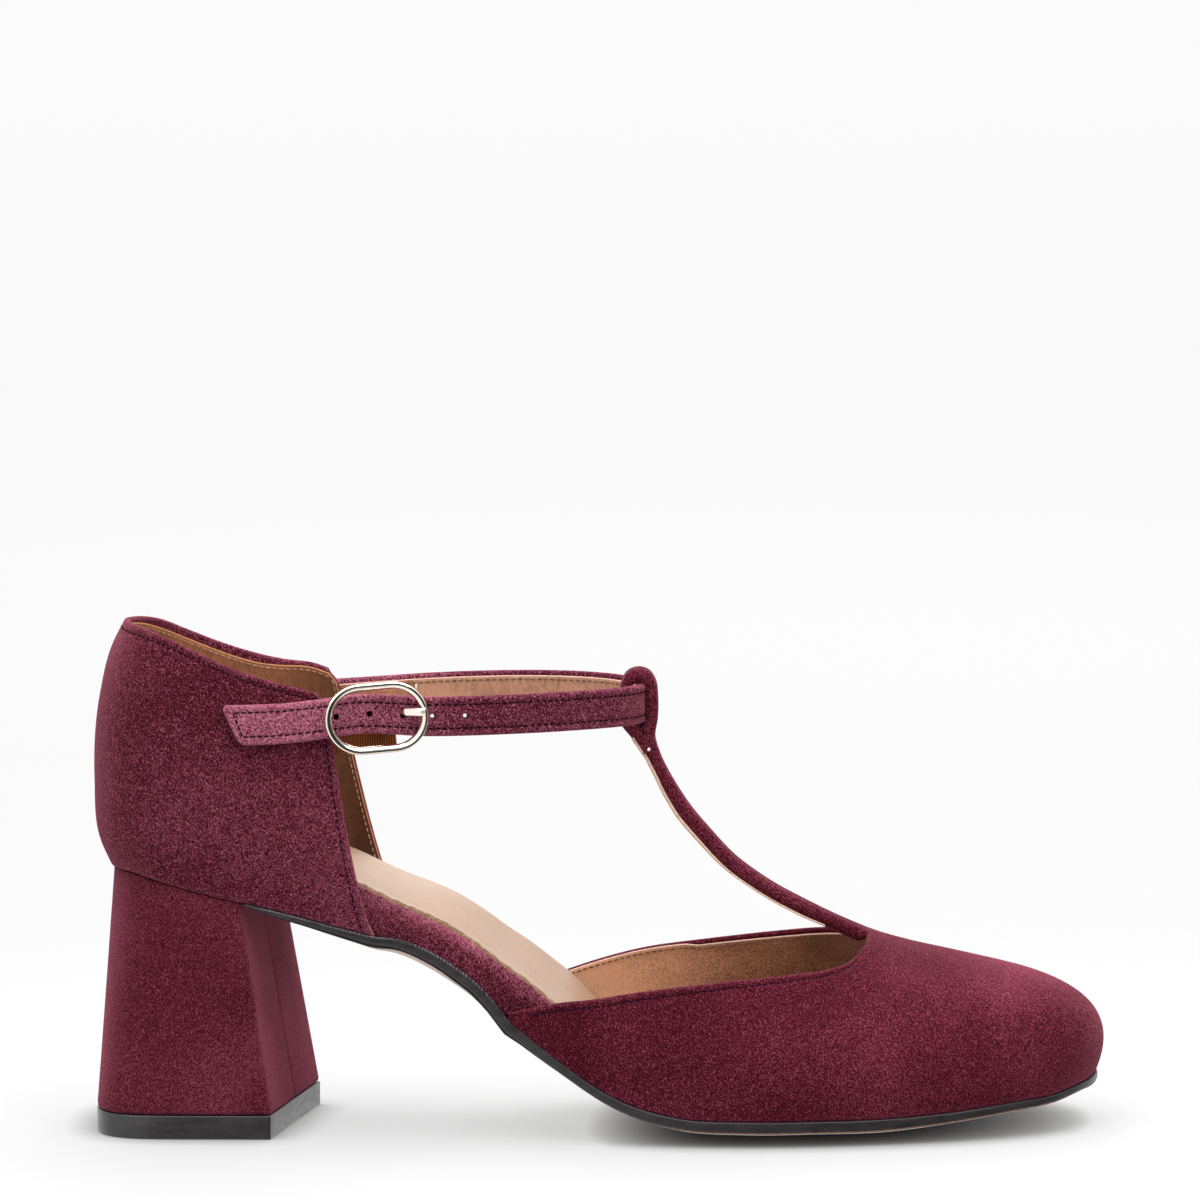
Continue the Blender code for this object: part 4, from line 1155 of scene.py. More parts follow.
def charcoal_finish(name, colours, wheel_glints):
    """Dark edge paint with fine streaks; on the sole, painted highlights on the wheel marks along its top."""
    made = Finish(name, colours.charcoal, 0.36, specular_ior_level=0.3 if wheel_glints else 0.5)
    scratches = made.noise(0.0012, 3.0, 0.6, 0.2, made.stretched((0.25, 0.25, 1.0)))
    base = made.mix(made.spread(scratches, 0.35, 0.75), colours.charcoal, tinted(colours.charcoal, 1.9))
    if wheel_glints:
        # Wheel marks at the waist, painted as glints along the top of the edge
        teeth = made.ribs(0.0024, 6.0, 3.0, 1.5)
        along = made.times(made.spread(made.axis("X"), -0.020, -0.028), made.rub())
        along = made.times(along, made.spread(made.noise(0.0035, 2.0), 0.38, 0.58, 0.15, 1.0))
        marks = made.times(made.spread(teeth, 0.45, 0.9), along)
        base = made.mix(marks, base, tinted(colours.charcoal, 9.0))
    made.drive("Base Color", base)
    made.drive("Roughness", made.spread(scratches, 0.3, 0.7, 0.27, 0.42))
    made.bump(scratches, 0.00012, 0.4)
    return made.material


def tread_finish(name, colours):
    made = Finish(name, colours.tread, 0.6, specular_ior_level=0.35)
    grain = made.noise(0.0014, 3.0, 0.55)
    clouds = made.noise(0.025, 2.0, 0.5)
    tone = made.add(made.times(grain, 0.4), made.times(clouds, 0.6))
    dark = tinted(colours.tread, 0.82)
    made.drive("Base Color", made.mix(made.spread(tone, 0.35, 0.7), dark, colours.tread))
    made.bump(grain, 0.0002, 0.3)
    return made.material


def gold_finish(name, colours):
    made = Finish(name, colours.gold, 0.14, metallic=1.0)
    made.drive("Roughness", made.spread(made.noise(0.006, 2.0, 0.5), 0.3, 0.7, 0.09, 0.19))
    return made.material


def elastic_finish(name, colours):
    made = Finish(name, colours.elastic, 0.85, specular_ior_level=0.1)
    ribs = made.ribs(0.0018, 0.6, 1.0, 3.0)
    made.drive("Base Color", made.mix(ribs, tinted(colours.elastic, 0.30), tinted(colours.elastic, 1.35)))
    made.bump(ribs, 0.0003, 0.8)
    return made.material


SUEDE = {"shift": -0.03, "grain": 1.5, "clump": 0.05, "patch": -0.075, "tint": (1.0, 0.9, 0.92)}
VAMP_SUEDE = {"shift": -0.085, "grain": 1.15, "clump": 0.01, "patch": 0.085, "tint": (1.0, 0.78, 0.80)}
HEEL_SUEDE = {"shift": -0.03, "grain": 0.9, "clump": 0.01, "patch": 0.10, "tint": (1.0, 0.84, 0.84)}
STRAP_SUEDE = {"shift": 0.0, "grain": 1.7, "clump": 0.06, "patch": 0.08, "tint": (1.2, 1.2, 1.2)}
CUT_EDGE = {
    "rough": 0.9, "gloss": 0.1, "grain": (0.0006, 3.0, 0.6), "light": 1.5, "limits": (0.3, 0.7),
    "relief": (0.0002, 0.5),
}
THREAD = {
    "rough": 0.9, "gloss": 0.1, "grain": (0.0003, 1.0, 0.5), "light": 1.6, "limits": (0.35, 0.65),
    "relief": (0.0001, 0.6), "stretch": ((1.0, 1.0, 0.4), (0.5, 0.5, 0.5)),
}
FRAYED = {
    "rough": 0.95, "gloss": 0.5, "grain": (0.0007, 3.0, 0.65), "light": 2.6, "limits": (0.38, 0.66),
    "relief": (0.0005, 0.9), "base": "frayed",
}
DULL_PAINT = {
    "rough": 0.9, "gloss": 0.0, "grain": (0.002, 2.0, 0.5), "light": 2.5, "limits": (0.35, 0.7),
    "relief": (0.0002, 0.3), "stretch": ((0.3, 1.0, 1.0),), "base": "charcoal",
}

# What makes each finish, and its settings
FINISH_MAKERS = {
    "suede": (suede_finish, {**SUEDE, "fade": quarter_light_and_shade}),
    "vamp_suede": (suede_finish, {**VAMP_SUEDE, "fade": toe_crest_highlight}),
    "heel_suede": (suede_finish, HEEL_SUEDE),
    "strap_suede": (suede_finish, {**STRAP_SUEDE, "fade": strap_fade}),
    "thread": (grained_finish, THREAD),
    "pale_thread": (grained_finish, THREAD),
    "white_thread": (grained_finish, THREAD),
    "lining": (lining_finish, {"second": "shaded_lining", "part": towards_front}),
    "strap_lining": (lining_finish, {"second": "lining", "part": behind_seam}),
    "woven_lining": (weave_finish, {}),
    "raw_edge": (grained_finish, CUT_EDGE),
    "pale_edge": (grained_finish, CUT_EDGE),
    "footbed": (footbed_finish, {}),
    "frayed_edge": (grained_finish, FRAYED),
    "charcoal": (charcoal_finish, {"wheel_glints": False}),
    "sole_edge": (charcoal_finish, {"wheel_glints": True}),
    "sole_paint": (grained_finish, DULL_PAINT),
    "tread": (tread_finish, {}),
    "gold": (gold_finish, {}),
    "elastic": (elastic_finish, {}),
}
FINISHES = {}


def finish_of(name):
    """The material of that name, made when it is first asked for."""
    if name not in FINISHES:
        maker, settings = FINISH_MAKERS[name]
        FINISHES[name] = maker(name, bpy.context.scene.pump_colours, **settings)
    return FINISHES[name]


def vamp_meridian(foot, middle, out, t):
    """Curve of the vamp's outer face from the feather (t = 0) to the instep line (t = 1)."""
    x = middle[0]
    front = max(0.0, out[0]) ** 2
    shape = {}
    for name, toe in TOE_SHAPE.items():
        side = smooth(VAMP_SHAPE, name, x)
        shape[name] = side + (toe - side) * front
    low = sole_top(foot[0], foot[1]) - TUCKED
    high = smooth(RIDGE, "height", x)
    fall = (high - smooth(RIDGE, "height", x - 1)) * out[0]
    reach = np.linalg.norm(foot - middle) * shape["crest"]
    p0 = np.array([*foot, low])
    p1 = np.array([*(foot + out * shape["bulge"]), low + shape["rise"] * (high - low)])
    p2 = np.array([*(middle + out * reach), high + fall * reach])
    p3 = np.array([*middle, high])
    t = np.asarray(t)[:, None]
    return p0 * (1 - t) ** 3 + 3 * p1 * t * (1 - t) ** 2 + 3 * p2 * t * t * (1 - t) + p3 * t**3


def side_meridian(name, x, t):
    foot = np.array([x, FEATHER.side(name, x)])
    middle = np.array([x, smooth(RIDGE, "across", x)])
    return vamp_meridian(foot, middle, np.array([0.0, OUTWARD[name]]), t)


def throat_shares(name, x, start, count):
    """Shares of the meridian from the feather up to start below the throat, closer together near it."""
    t = np.linspace(0, 1, 240)
    curve = side_meridian(name, x, t)
    top = np.interp(smooth(THROAT, name, x), curve[:, 2], t)
    t = np.linspace(0, top, 160)
    along = lengths(side_meridian(name, x, t))
    total = along[-1]
    scale = min(1.0, total / NARROW_WALL)
    near = start * scale + np.array(FOLD_ROWS) * scale
    rest = np.linspace(near[-1], total, count + 1)[1:]
    return np.interp(total - np.concatenate([near, rest])[::-1], along, t)


def bar_share(name, x):
    """Share of the meridian at the T-bar's edge."""
    t = np.linspace(0.5, 1, 200)
    away = np.abs(side_meridian(name, x, t)[:, 1] - smooth(RIDGE, "across", x))
    return np.interp(-BAR_WIDTH / 2, -away, t)


def vamp_front(sheet, front_xs, columns, thick):
    """Adds the closed forepart of the vamp, round the toe, to a sheet."""
    for name in SIDES:
        sheet.grid([side_meridian(name, x, columns[name]) for x in front_xs], OUT_Y[name], thick)
    feet, outs = FEATHER.fan(TOE_PIVOT, 1, half_turn(TOE_FAN))
    fan = []
    for foot, out, share in zip(feet, outs, np.linspace(0, 1, TOE_FAN)):
        t = columns["lateral"] * (1 - share) + columns["medial"] * share
        fan.append(vamp_meridian(foot, np.array(TOE_PIVOT), out, t))
    fan[0] = side_meridian("lateral", TOE_PIVOT[0], columns["lateral"])
    fan[-1] = side_meridian("medial", TOE_PIVOT[0], columns["medial"])
    sheet.grid(fan, OUT_Y["lateral"], thick)


def bar_line():
    """Side view of the T-bar's outer face from the vamp to the end of the loop, and where the loop starts."""
    xs = np.linspace(THROAT_X, BAR_LEAVES_X, 9)
    instep = [(x, smooth(RIDGE, "height", x)) for x in xs]
    line = spline(instep + list(zip(LOOP["x"], LOOP["z"])), BAR_STEPS)
    return line, BAR_STEPS * len(instep)


def loop_body(column, count, loop_start):
    """One column of the thickness table at each point of the T-bar's side view."""
    number = (np.arange(count) - loop_start) / BAR_STEPS
    return np.interp(number, LOOP_BODY["x"], LOOP_BODY[column])


def vamp_sheet(suede):
    """The vamp's outer face: both sides, the forepart, and the T-bar with its loop."""
    sheet = Sheet()
    columns = {}
    for name, rear in VAMP_REAR.items():
        spacing = 1 - (1 - np.linspace(0, 1, 75)) ** WALL_SPACING
        xs = rear + (THROAT_X - rear) * spacing
        wall = [side_meridian(name, x, throat_shares(name, x, 0.0, WALL_COLUMNS)) for x in xs]
        sheet.grid(wall, OUT_Y[name], suede)
        low = throat_shares(name, THROAT_X, 0.0, WALL_COLUMNS)
        bar = bar_share(name, THROAT_X)
        ledge = np.linspace(low[-1], bar, 4)[1:]
        bar_columns = 1 - (1 - bar) * np.array([0.62, 0.3, 0.0])
        columns[name] = np.concatenate([low, ledge, bar_columns])
    vamp_front(sheet, np.linspace(THROAT_X, TOE_PIVOT[0], 28), columns, suede)

    half = len(BAR_PLACES) // 2 + 1
    outer = side_meridian("lateral", THROAT_X, columns["lateral"][-half:])
    inner = side_meridian("medial", THROAT_X, columns["medial"][-half:-1])
    base = np.concatenate([outer, inner[::-1]])
    line, loop_start = bar_line()
    along = lengths(line)
    rows = []
    for k, (x, z) in enumerate(line):
        row = np.zeros((len(BAR_PLACES), 3))
        row[:, 0] = x
        row[:, 1] = smooth(RIDGE, "across", x) + BAR_PLACES * BAR_WIDTH / 2
        row[:, 2] = z - BAR_CROWN * BAR_PLACES**2
        like_vamp = 1 - ramp(0, BAR_BLEND, along[k])
        row += (base - base[half - 1] - row + row[half - 1]) * like_vamp
        rows.append(row)
    rows[0] = base
    thick = loop_body("middle", len(line), loop_start)[:, None]
    thick = suede + (thick - suede) * ramp(*BAR_BODY_RANGE, along)[:, None]
    thick = thick + loop_body("edge", len(line), loop_start)[:, None] * BAR_PLACES**2
    sheet.grid(rows, UP, thick)
    return sheet.weld()


class PUMP_OT_vamp(bpy.types.Operator):
    """Make the suede vamp with its T-bar and loop, its linings and its stitches"""

    bl_idname = "pump.vamp"
    bl_label = "Vamp"

    def execute(self, context):
        sizes = context.scene.pump_sizes
        sheet = vamp_sheet(sizes.suede / MM)
        walls = sheet.maps[: len(SIDES)]
        for ids in walls:
            sheet.relax(sheet.points[ids[-1, -1]], THROAT_EASE, THROAT_ROUNDS)
        lines = []
        for ids in walls:
            for row, depth in GROOVE.items():
                fade = ramp(0, 8, lengths(sheet.points[ids[:, -1 - row]]))
                sheet.press(ids[:, -1 - row], (depth * fade)[:, None])
            lines += sheet.front_lines(ids[4:-5, -1 - STITCH_ROW])
        sheet.measure()
        folded_piece("vamp", sheet, ["vamp_suede"], "suede", ["vamp"])
        sewn("throat_stitches", lines, sizes, "thread")
        self.lining(sizes)
        self.bar_lining(sizes.suede / MM)
        self.loop_threads()
        return {"FINISHED"}

    def lining(self, sizes):
        """Woven lining, which stops further from the edge next to the T-bar."""
        thick = sizes.lining / MM
        rim = sizes.rim / MM
        sheet = Sheet()
        columns = {}
        for name, rear in VAMP_REAR.items():
            xs = np.linspace(rear + 3.0, THROAT_X, 60)
            bare = np.full(len(xs), rim)
            if name == "medial":
                bare *= INNER_BARE + (1 - INNER_BARE) * ramp(*INNER_BARE_RANGE, xs)
            bare += THROAT_BARE * ramp(*THROAT_BARE_RANGE, xs)
            shares = [throat_shares(name, x, below, LINING_COLUMNS) for x, below in zip(xs, bare)]
            sheet.grid([side_meridian(name, x, t) for x, t in zip(xs, shares)], OUT_Y[name], thick)
            low = throat_shares(name, THROAT_X, rim + THROAT_BARE, LINING_COLUMNS)
            columns[name] = np.concatenate([low, np.linspace(low[-1], 1, 8)[1:]])
        vamp_front(sheet, np.linspace(THROAT_X, TOE_PIVOT[0], 14), columns, thick)
        sheet.weld()
        sheet.points -= sheet.normals * (sizes.suede / MM + BEHIND_SUEDE)
        under_bar = np.abs(sheet.points[:, 0] - THROAT_X) < UNDER_BAR["reach"]
        under_bar &= sheet.points[:, 2] > UNDER_BAR["above"]
        sheet.points[under_bar, 0] += UNDER_BAR["ahead"]
        sheet.measure()
        lines = sheet.back_lines(*[ids[2:-4, -2] for ids in sheet.maps[: len(SIDES)]])
        folded_piece("vamp_lining", sheet, ["woven_lining", "pale_edge"], "footbed")
        sewn("throat_lining_stitches", lines, sizes, "frayed_edge", "footbed")

    def bar_lining(self, suede):
        """Thin lining of the T-bar, which runs on over the end of the loop."""
        line, loop_start = bar_line()
        along = lengths(line)
        kept = (along > BAR_LINING_FROM) & (np.arange(len(line)) < loop_start)
        ahead = unit(np.gradient(line, axis=0))[kept]
        inward = np.stack([ahead[:, 1], -ahead[:, 0]], axis=1)
        inward *= np.sign(inward @ np.array([-1.0, -1.0]))[:, None]
        body = suede + (loop_body("middle", len(line), loop_start) - suede) * ramp(*BAR_BODY_RANGE, along)
        thick = BAR_LINING_THIN + BAR_LINING_GAIN * ramp(*BAR_LINING_GAIN_RANGE, along[kept])
        root = BAR_LINING_ROOT * (1 - ramp(*BAR_LINING_ROOT_RANGE, along[kept]))
        sunk = thick - BAR_LINING_SHOWN + root
        inner = line[kept] + inward * (body[kept] - sunk)[:, None]
        inner = np.concatenate([inner[:-3], spline([inner[-4], *BAR_LINING_END], 5)[1:]])
        thick = np.concatenate([thick[:-3], np.full(len(inner) - len(thick) + 3, thick[-1])])
        places = BAR_LINING_PLACES * BAR_WIDTH / 2
        strip = np.zeros((len(inner), len(places), 3))
        strip[:, :, 0] = inner[:, :1]
        strip[:, :, 1] = smooth(RIDGE, "across", inner[:, 0])[:, None] + places
        strip[:, :, 2] = inner[:, 1:]
        sheet = sheet_of(strip, UP, thick[:, None])
        folded_piece("bar_lining", sheet, ["strap_lining", "pale_edge"], "footbed")

    def loop_threads(self):
        """The white thread that holds the loop's end, and the crease sewn in the loop's side."""
        knot = np.array([np.array(BAR_KNOT) + np.array(BAR_KNOT_WAY) * step for step in (-1, 1)])
        crease = spline(LOOP_CREASE, 4)
        for name, line, pitch, thread, finish, slot in (
            ("loop_knot", knot, 1.0, 0.62, "white_thread", "footbed"),
            ("loop_stitches", crease, 2.0, 0.5, "thread", "suede"),
        ):
            aside = np.tile([0.0, -1.0, 0.0], (len(line), 1))
            add_stitches(name, [(line, aside)], pitch, thread, finish, slot)


def quarter_swell(share, back):
    side = smooth(SWELL, "side", share)
    return side + (smooth(SWELL, "back", share) - side) * back


def quarter_face(name, x, z):
    """Sideways place of the quarter's outer face on its straight sides."""
    foot = FEATHER.side(name, x)
    low = sole_top(x, foot) + GAP
    share = np.clip((z - low) / (smooth(TOPLINE, name, x) - low), 0, 1)
    return foot + OUTWARD[name] * quarter_swell(share, 0.0)


def from_fold(total, start, count):
    """Shares from a folded edge across a piece, closer together near the fold."""
    near = (start + np.array(FOLD_ROWS)) / total
    return np.concatenate([near, np.linspace(near[-1], 1, count + 1)[1:]])


def quarter_rows(below_top, behind_front, side_count, column_count, fan_count):
    """Points of the quarter's outer face, inside its edges, from the outer side round to the inner."""
    levels = 1 - from_fold(QUARTER_TALL, below_top, column_count)[::-1]
    sides = {}
    for name, (low_x, high_x) in QUARTER_EDGE.items():
        edge = low_x + (high_x - low_x) * levels**EDGE_BEND
        edge = edge - CORNER_CUT * ramp(*CORNER_RANGE, levels) ** 2
        sides[name] = []
        for share in from_fold(QUARTER_LONG, behind_front[name], side_count):
            x = edge + (HEEL_PIVOT[0] - edge) * share
            foot = FEATHER.side(name, x)
            low = sole_top(x, foot) - TUCKED
            high = smooth(TOPLINE, name, x)
            y = foot + OUTWARD[name] * quarter_swell(levels, 0.0)
            sides[name].append(np.stack([x, y, low + (high - low) * levels], axis=1))
    rows = sides["lateral"]
    feet, outs = FEATHER.fan(HEEL_PIVOT, -1, half_turn(fan_count + 2)[1:-1])
    for foot, out in zip(feet, outs):
        plan = foot + out * quarter_swell(levels, out[0] ** 2)[:, None]
        low = sole_top(foot[0], foot[1]) - TUCKED
        high = smooth(TOPLINE, "lateral" if out[1] < 0 else "medial", plan[-1, 0])
        rows.append(np.concatenate([plan, (low + (high - low) * levels)[:, None]], axis=1))
    rows += sides["medial"][::-1]
    return np.array(rows)


class PUMP_OT_quarter(bpy.types.Operator):
    """Make the suede quarter round the heel, its lining and its stitches"""

    bl_idname = "pump.quarter"
    bl_label = "Quarter"

    def execute(self, context):
        sizes = context.scene.pump_sizes
        rows = quarter_rows(0.0, dict.fromkeys(SIDES, 0.0), 26, 44, 64)
        sheet = sheet_of(rows, OUT_Y["lateral"], sizes.suede / MM)
        ids = sheet.maps[0]
        last = ids.shape[1] - 1
        for row, depth in GROOVE.items():
            sheet.press(ids[row:-row, last - row], depth)
            sheet.press(ids[row, : last - row], depth)
            sheet.press(ids[-1 - row, : last - row], depth)
        sheet.measure()
        top = ids[STITCH_ROW:-STITCH_ROW, last - STITCH_ROW]
        front = ids[STITCH_ROW, 1 : last - STITCH_ROW]
        rear = ids[-1 - STITCH_ROW, 1 : last - STITCH_ROW]
        folded_piece("quarter", sheet, ["suede"], "suede", ["quarter"])
        sewn("quarter_stitches", sheet.front_lines(top, front, rear), sizes, "thread")
        self.lining(sizes)
        return {"FINISHED"}

    def lining(self, sizes):
        """Leather lining, whose top edge lies lower on the inner side."""
        rows = quarter_rows(sizes.rim / MM, QUARTER_REVEAL, 16, 20, 32)
        sheet = sheet_of(rows, OUT_Y["lateral"], sizes.lining / MM)
        sheet.points -= sheet.normals * (sizes.suede / MM + BEHIND_SUEDE)
        ids = sheet.maps[0]
        inner_side = ids[len(ids) // 2 :]
        points = sheet.points[inner_side]
        lowered = QUARTER_LOWERED * between(LOWERED_ALONG, points[..., 0])
        sheet.points[inner_side, 2] = points[..., 2] - lowered * ramp(*LOWERED_ABOVE, points[..., 2])
        sheet.measure()
        last = ids.shape[1] - 1
        lines = sheet.back_lines(ids[1:-1, last - 1], ids[1, 1 : last - 1], ids[-2, 1 : last - 1])
        folded_piece("quarter_lining", sheet, ["lining", "raw_edge"], "footbed")
        sewn("quarter_lining_stitches", lines, sizes, "pale_thread", "footbed", 0.7)


def strap_edges():
    """Lower and upper edge of the strap's middle sheet, from the free end round to the sewn end."""
    half = STRAP_WIDTH / 2
    clear = 2 * GAP + STRAP_THICK / 2
    edges = []
    for place in (-half, half):
        lines = {}
        for name, out in OUTWARD.items():
            x = STRAP_END[name]["x"].copy()
            z = STRAP_END[name]["z"] + place
            if name == "lateral":
                x[0] -= STRAP_TIP_SLANT / 2 * np.sign(place)
            y = [quarter_face(name, *at) + out * clear for at in zip(x, z)]
            lines[name] = np.column_stack([x, y, z])
        free = np.column_stack([STRAP_FREE["x"], STRAP_FREE["y"], STRAP_FREE["z"] + place])
        edges.append(spline([*lines["lateral"], *free, *lines["medial"]], 12))
    return edges


def strap_marks(middle, along):
    """Distances along the strap of its rows, close at its free end and at each hole, and of the holes."""
    apex = int(middle[:, 0].argmax())
    holes = np.interp(HOLES_X, middle[: apex + 1, 0], along[: apex + 1])
    marks = list(FOLD_ROWS) + list(np.arange(FOLD_ROWS[-1] + STRAP_STEP, along[-1], STRAP_STEP))
    for hole in holes:
        marks = [mark for mark in marks if abs(mark - hole) > HOLE_CLEAR * HOLE_BLOCK[-1]]
        marks += list(hole + HOLE_BLOCK)
    return np.array(sorted([*marks, along[-1]])), holes


def strap_places(lower, upper):
    """Shares across the strap of rows at distances from its edges, with the holes' rows between them."""
    half = STRAP_WIDTH / 2
    return np.concatenate([lower - half, HOLE_BLOCK, half - upper[::-1]]) / STRAP_WIDTH + 0.5


def crossing(low, high, places):
    """Grid between two edges, at shares of the way across."""
    return low[:, None] + (high - low)[:, None] * places[None, :, None]


class PUMP_OT_ankle_strap(bpy.types.Operator):
    """Make the ankle strap with its punched holes, its lining and its stitches"""

    bl_idname = "pump.ankle_strap"
    bl_label = "Ankle strap"

    def execute(self, context):
        sizes = context.scene.pump_sizes
        low, high = strap_edges()
        middle = (low + high) / 2
        along = lengths(middle)
        marks, holes = strap_marks(middle, along)
        low = at_marks(low, along, marks)
        high = at_marks(high, along, marks)
        grid = crossing(low, high, strap_places(STRAP_EDGE_ROWS, STRAP_EDGE_ROWS))
        missing = self.punch(grid, marks, holes, len(STRAP_EDGE_ROWS), sizes.hole / MM)
        sheet = sheet_of(grid, OUT_Y["lateral"], STRAP_THICK - sizes.lining / MM, missing)
        ids = sheet.maps[0]
        for corner, reach in zip(ids[0, [0, -1]], STRAP_TIP_EASE):
            sheet.relax(sheet.points[corner].copy(), reach, STRAP_TIP_ROUNDS)
        sheet.points += sheet.normals * STRAP_THICK / 2
        for row, depth in GROOVE.items():
            sheet.press(ids[row:, row], depth)
            sheet.press(ids[row:, -1 - row], depth)
        sheet.measure()
        lower = ids[STITCH_ROW:-3, STITCH_ROW]
        upper = ids[STITCH_ROW:-3, -1 - STITCH_ROW]
        tip = ids[STITCH_ROW, STITCH_ROW:-STITCH_ROW]
        folded_piece("ankle_strap", sheet, ["strap_suede"], "suede", ["ankle_strap"])
        sewn("strap_stitches", sheet.front_lines(lower, upper, tip), sizes, "thread")
        self.lining(low, high, marks, holes, sizes)
        return {"FINISHED"}

    def punch(self, grid, marks, holes, edge_rows, radius):
        """Moves the points round each hole onto a circle and returns the cells inside it."""
        missing = []
        middle = edge_rows + HOLE_CELLS + 1
        cells = range(-HOLE_CELLS, HOLE_CELLS + 1)
        for hole in holes:
            row = int(np.abs(marks - hole).argmin())
            centre = grid[row, middle].copy()
            ahead = unit(grid[row + 1, middle] - grid[row - 1, middle])
            up = unit(grid[row, middle + 1] - grid[row, middle - 1])
            for i in cells:
                for j in cells:
                    if max(abs(i), abs(j)) == HOLE_CELLS:
                        turn = math.atan2(j, i)
                        out = math.cos(turn) * ahead + math.sin(turn) * up
                        grid[row + i, middle + j] = centre + radius * out
                    if i < HOLE_CELLS and j < HOLE_CELLS:
                        missing.append((row + i, middle + j))
        return missing

    def lining(self, low, high, marks, holes, sizes):
        """Tan lining behind the strap, with soft wrinkles across it and a seam on the inner side."""
        rows = (marks > STRAP_LINING_ENDS[0]) & (marks < marks[-1] - STRAP_LINING_ENDS[1])
        marks = marks[rows]
        lower = sizes.rim / MM + STRAP_LINING_ROWS["low"]
        places = strap_places(lower, sizes.rim / MM + STRAP_LINING_ROWS["high"])
        grid = crossing(low[rows], high[rows], places)
        missing = self.punch(grid, marks, holes[OPEN_HOLES:], len(lower), LINING_HOLE * sizes.hole / MM)
        sheet = sheet_of(grid, OUT_Y["lateral"], sizes.lining / MM, missing)
        sheet.points -= sheet.normals * (STRAP_THICK / 2 - sizes.lining / MM + BEHIND_SUEDE)
        wave = np.clip(waves(marks, WRINKLE_WAVES), *WRINKLE_LIMITS)
        lift = WRINKLE * wave[:, None] * np.sin(np.pi * places)[None, :]
        ids = sheet.maps[0]
        sheet.points[ids] -= sheet.normals[ids] * lift[..., None]
        sheet.measure()
        points, faces, sides = sheet.folded()
        # The face towards the strap takes the near-black thread finish: painted shade seen through the strap's
        # holes
        finishes = ["thread", "pale_edge", "strap_lining"]
        add_piece("strap_lining", points, faces, finishes, "footbed", (), sides)
        lines = sheet.back_lines(ids[2:-2, 1], ids[2:-2, -2])
        sewn("strap_lining_stitches", lines, sizes, "frayed_edge", "footbed")
        x = grid[:, len(lower) + HOLE_CELLS + 1, 0]
        apex = int(x.argmax())
        seam = apex + int(np.abs(x[apex:] - STRAP_SEAM_X).argmin())
        sewn("strap_seam_stitches", sheet.back_lines(ids[seam, 1:-1]), sizes, "white_thread", "footbed")


def fill_ends(points, faces, count, middles):
    """Fills the first and last ring of a body, each of count points, to a middle point."""
    for first, middle in zip((0, len(points) - count), middles):
        tip = len(points)
        points = np.concatenate([points, [middle]])
        for j in range(count):
            faces.append((first + j, first + (j + 1) % count, tip, tip))
    return points, np.array(faces)


def tube(path, radii, sides, closed=False):
    """Points and faces of a wire along a path, with radii across and along its first side."""
    path = np.asarray(path, float)
    count = len(path)
    if closed:
        along = np.roll(path, -1, axis=0) - np.roll(path, 1, axis=0)
    else:
        along = np.gradient(path, axis=0)
    along = unit(along)
    side = np.cross(along[0], along[count // 3])
    turn = np.arange(sides) * 2 * math.pi / sides
    first_part = radii[0] * np.cos(turn)[:, None]
    other_part = radii[1] * np.sin(turn)[:, None]
    rings = []
    for point, direction in zip(path, along):
        side = unit(side - direction * (side @ direction))
        rings.append(point + first_part * side + other_part * np.cross(direction, side))
    faces = []
    for i in range(count if closed else count - 1):
        n = (i + 1) % count
        for j in range(sides):
            k = (j + 1) % sides
            faces.append((i * sides + j, i * sides + k, n * sides + k, n * sides + j))
    points = np.concatenate(rings)
    if closed:
        return points, np.array(faces)
    return fill_ends(points, faces, sides, (path[0], path[-1]))


class BuckleFrame:
    """Places beside the strap at the buckle: along it, outwards from its middle, and up."""

    def __init__(self):
        low, high = strap_edges()
        middle = (low + high) / 2
        line = middle[: int(middle[:, 0].argmax()) + 1]
        ends = [BUCKLE_X - BUCKLE_REACH, BUCKLE_X, BUCKLE_X + BUCKLE_REACH]
        y = np.interp(ends, line[:, 0], line[:, 1])
        along = unit(np.array([2 * BUCKLE_REACH, y[2] - y[0], 0.0]))
        lean = unit((high - low)[int(np.abs(line[:, 0] - BUCKLE_X).argmin())])
        self.centre = np.array([BUCKLE_X, y[1], BUCKLE_Z])
        self.out = np.cross(along, lean)
        self.along = along * math.cos(BUCKLE_TILT) + lean * math.sin(BUCKLE_TILT)
        self.up = -np.cross(self.out, self.along)
        if self.up[2] < 0:
            self.up = -self.up
        if self.out[1] > 0:
            self.out = -self.out

    def at(self, along, out, up):
        return self.centre + self.along * along + self.out * out + self.up * up


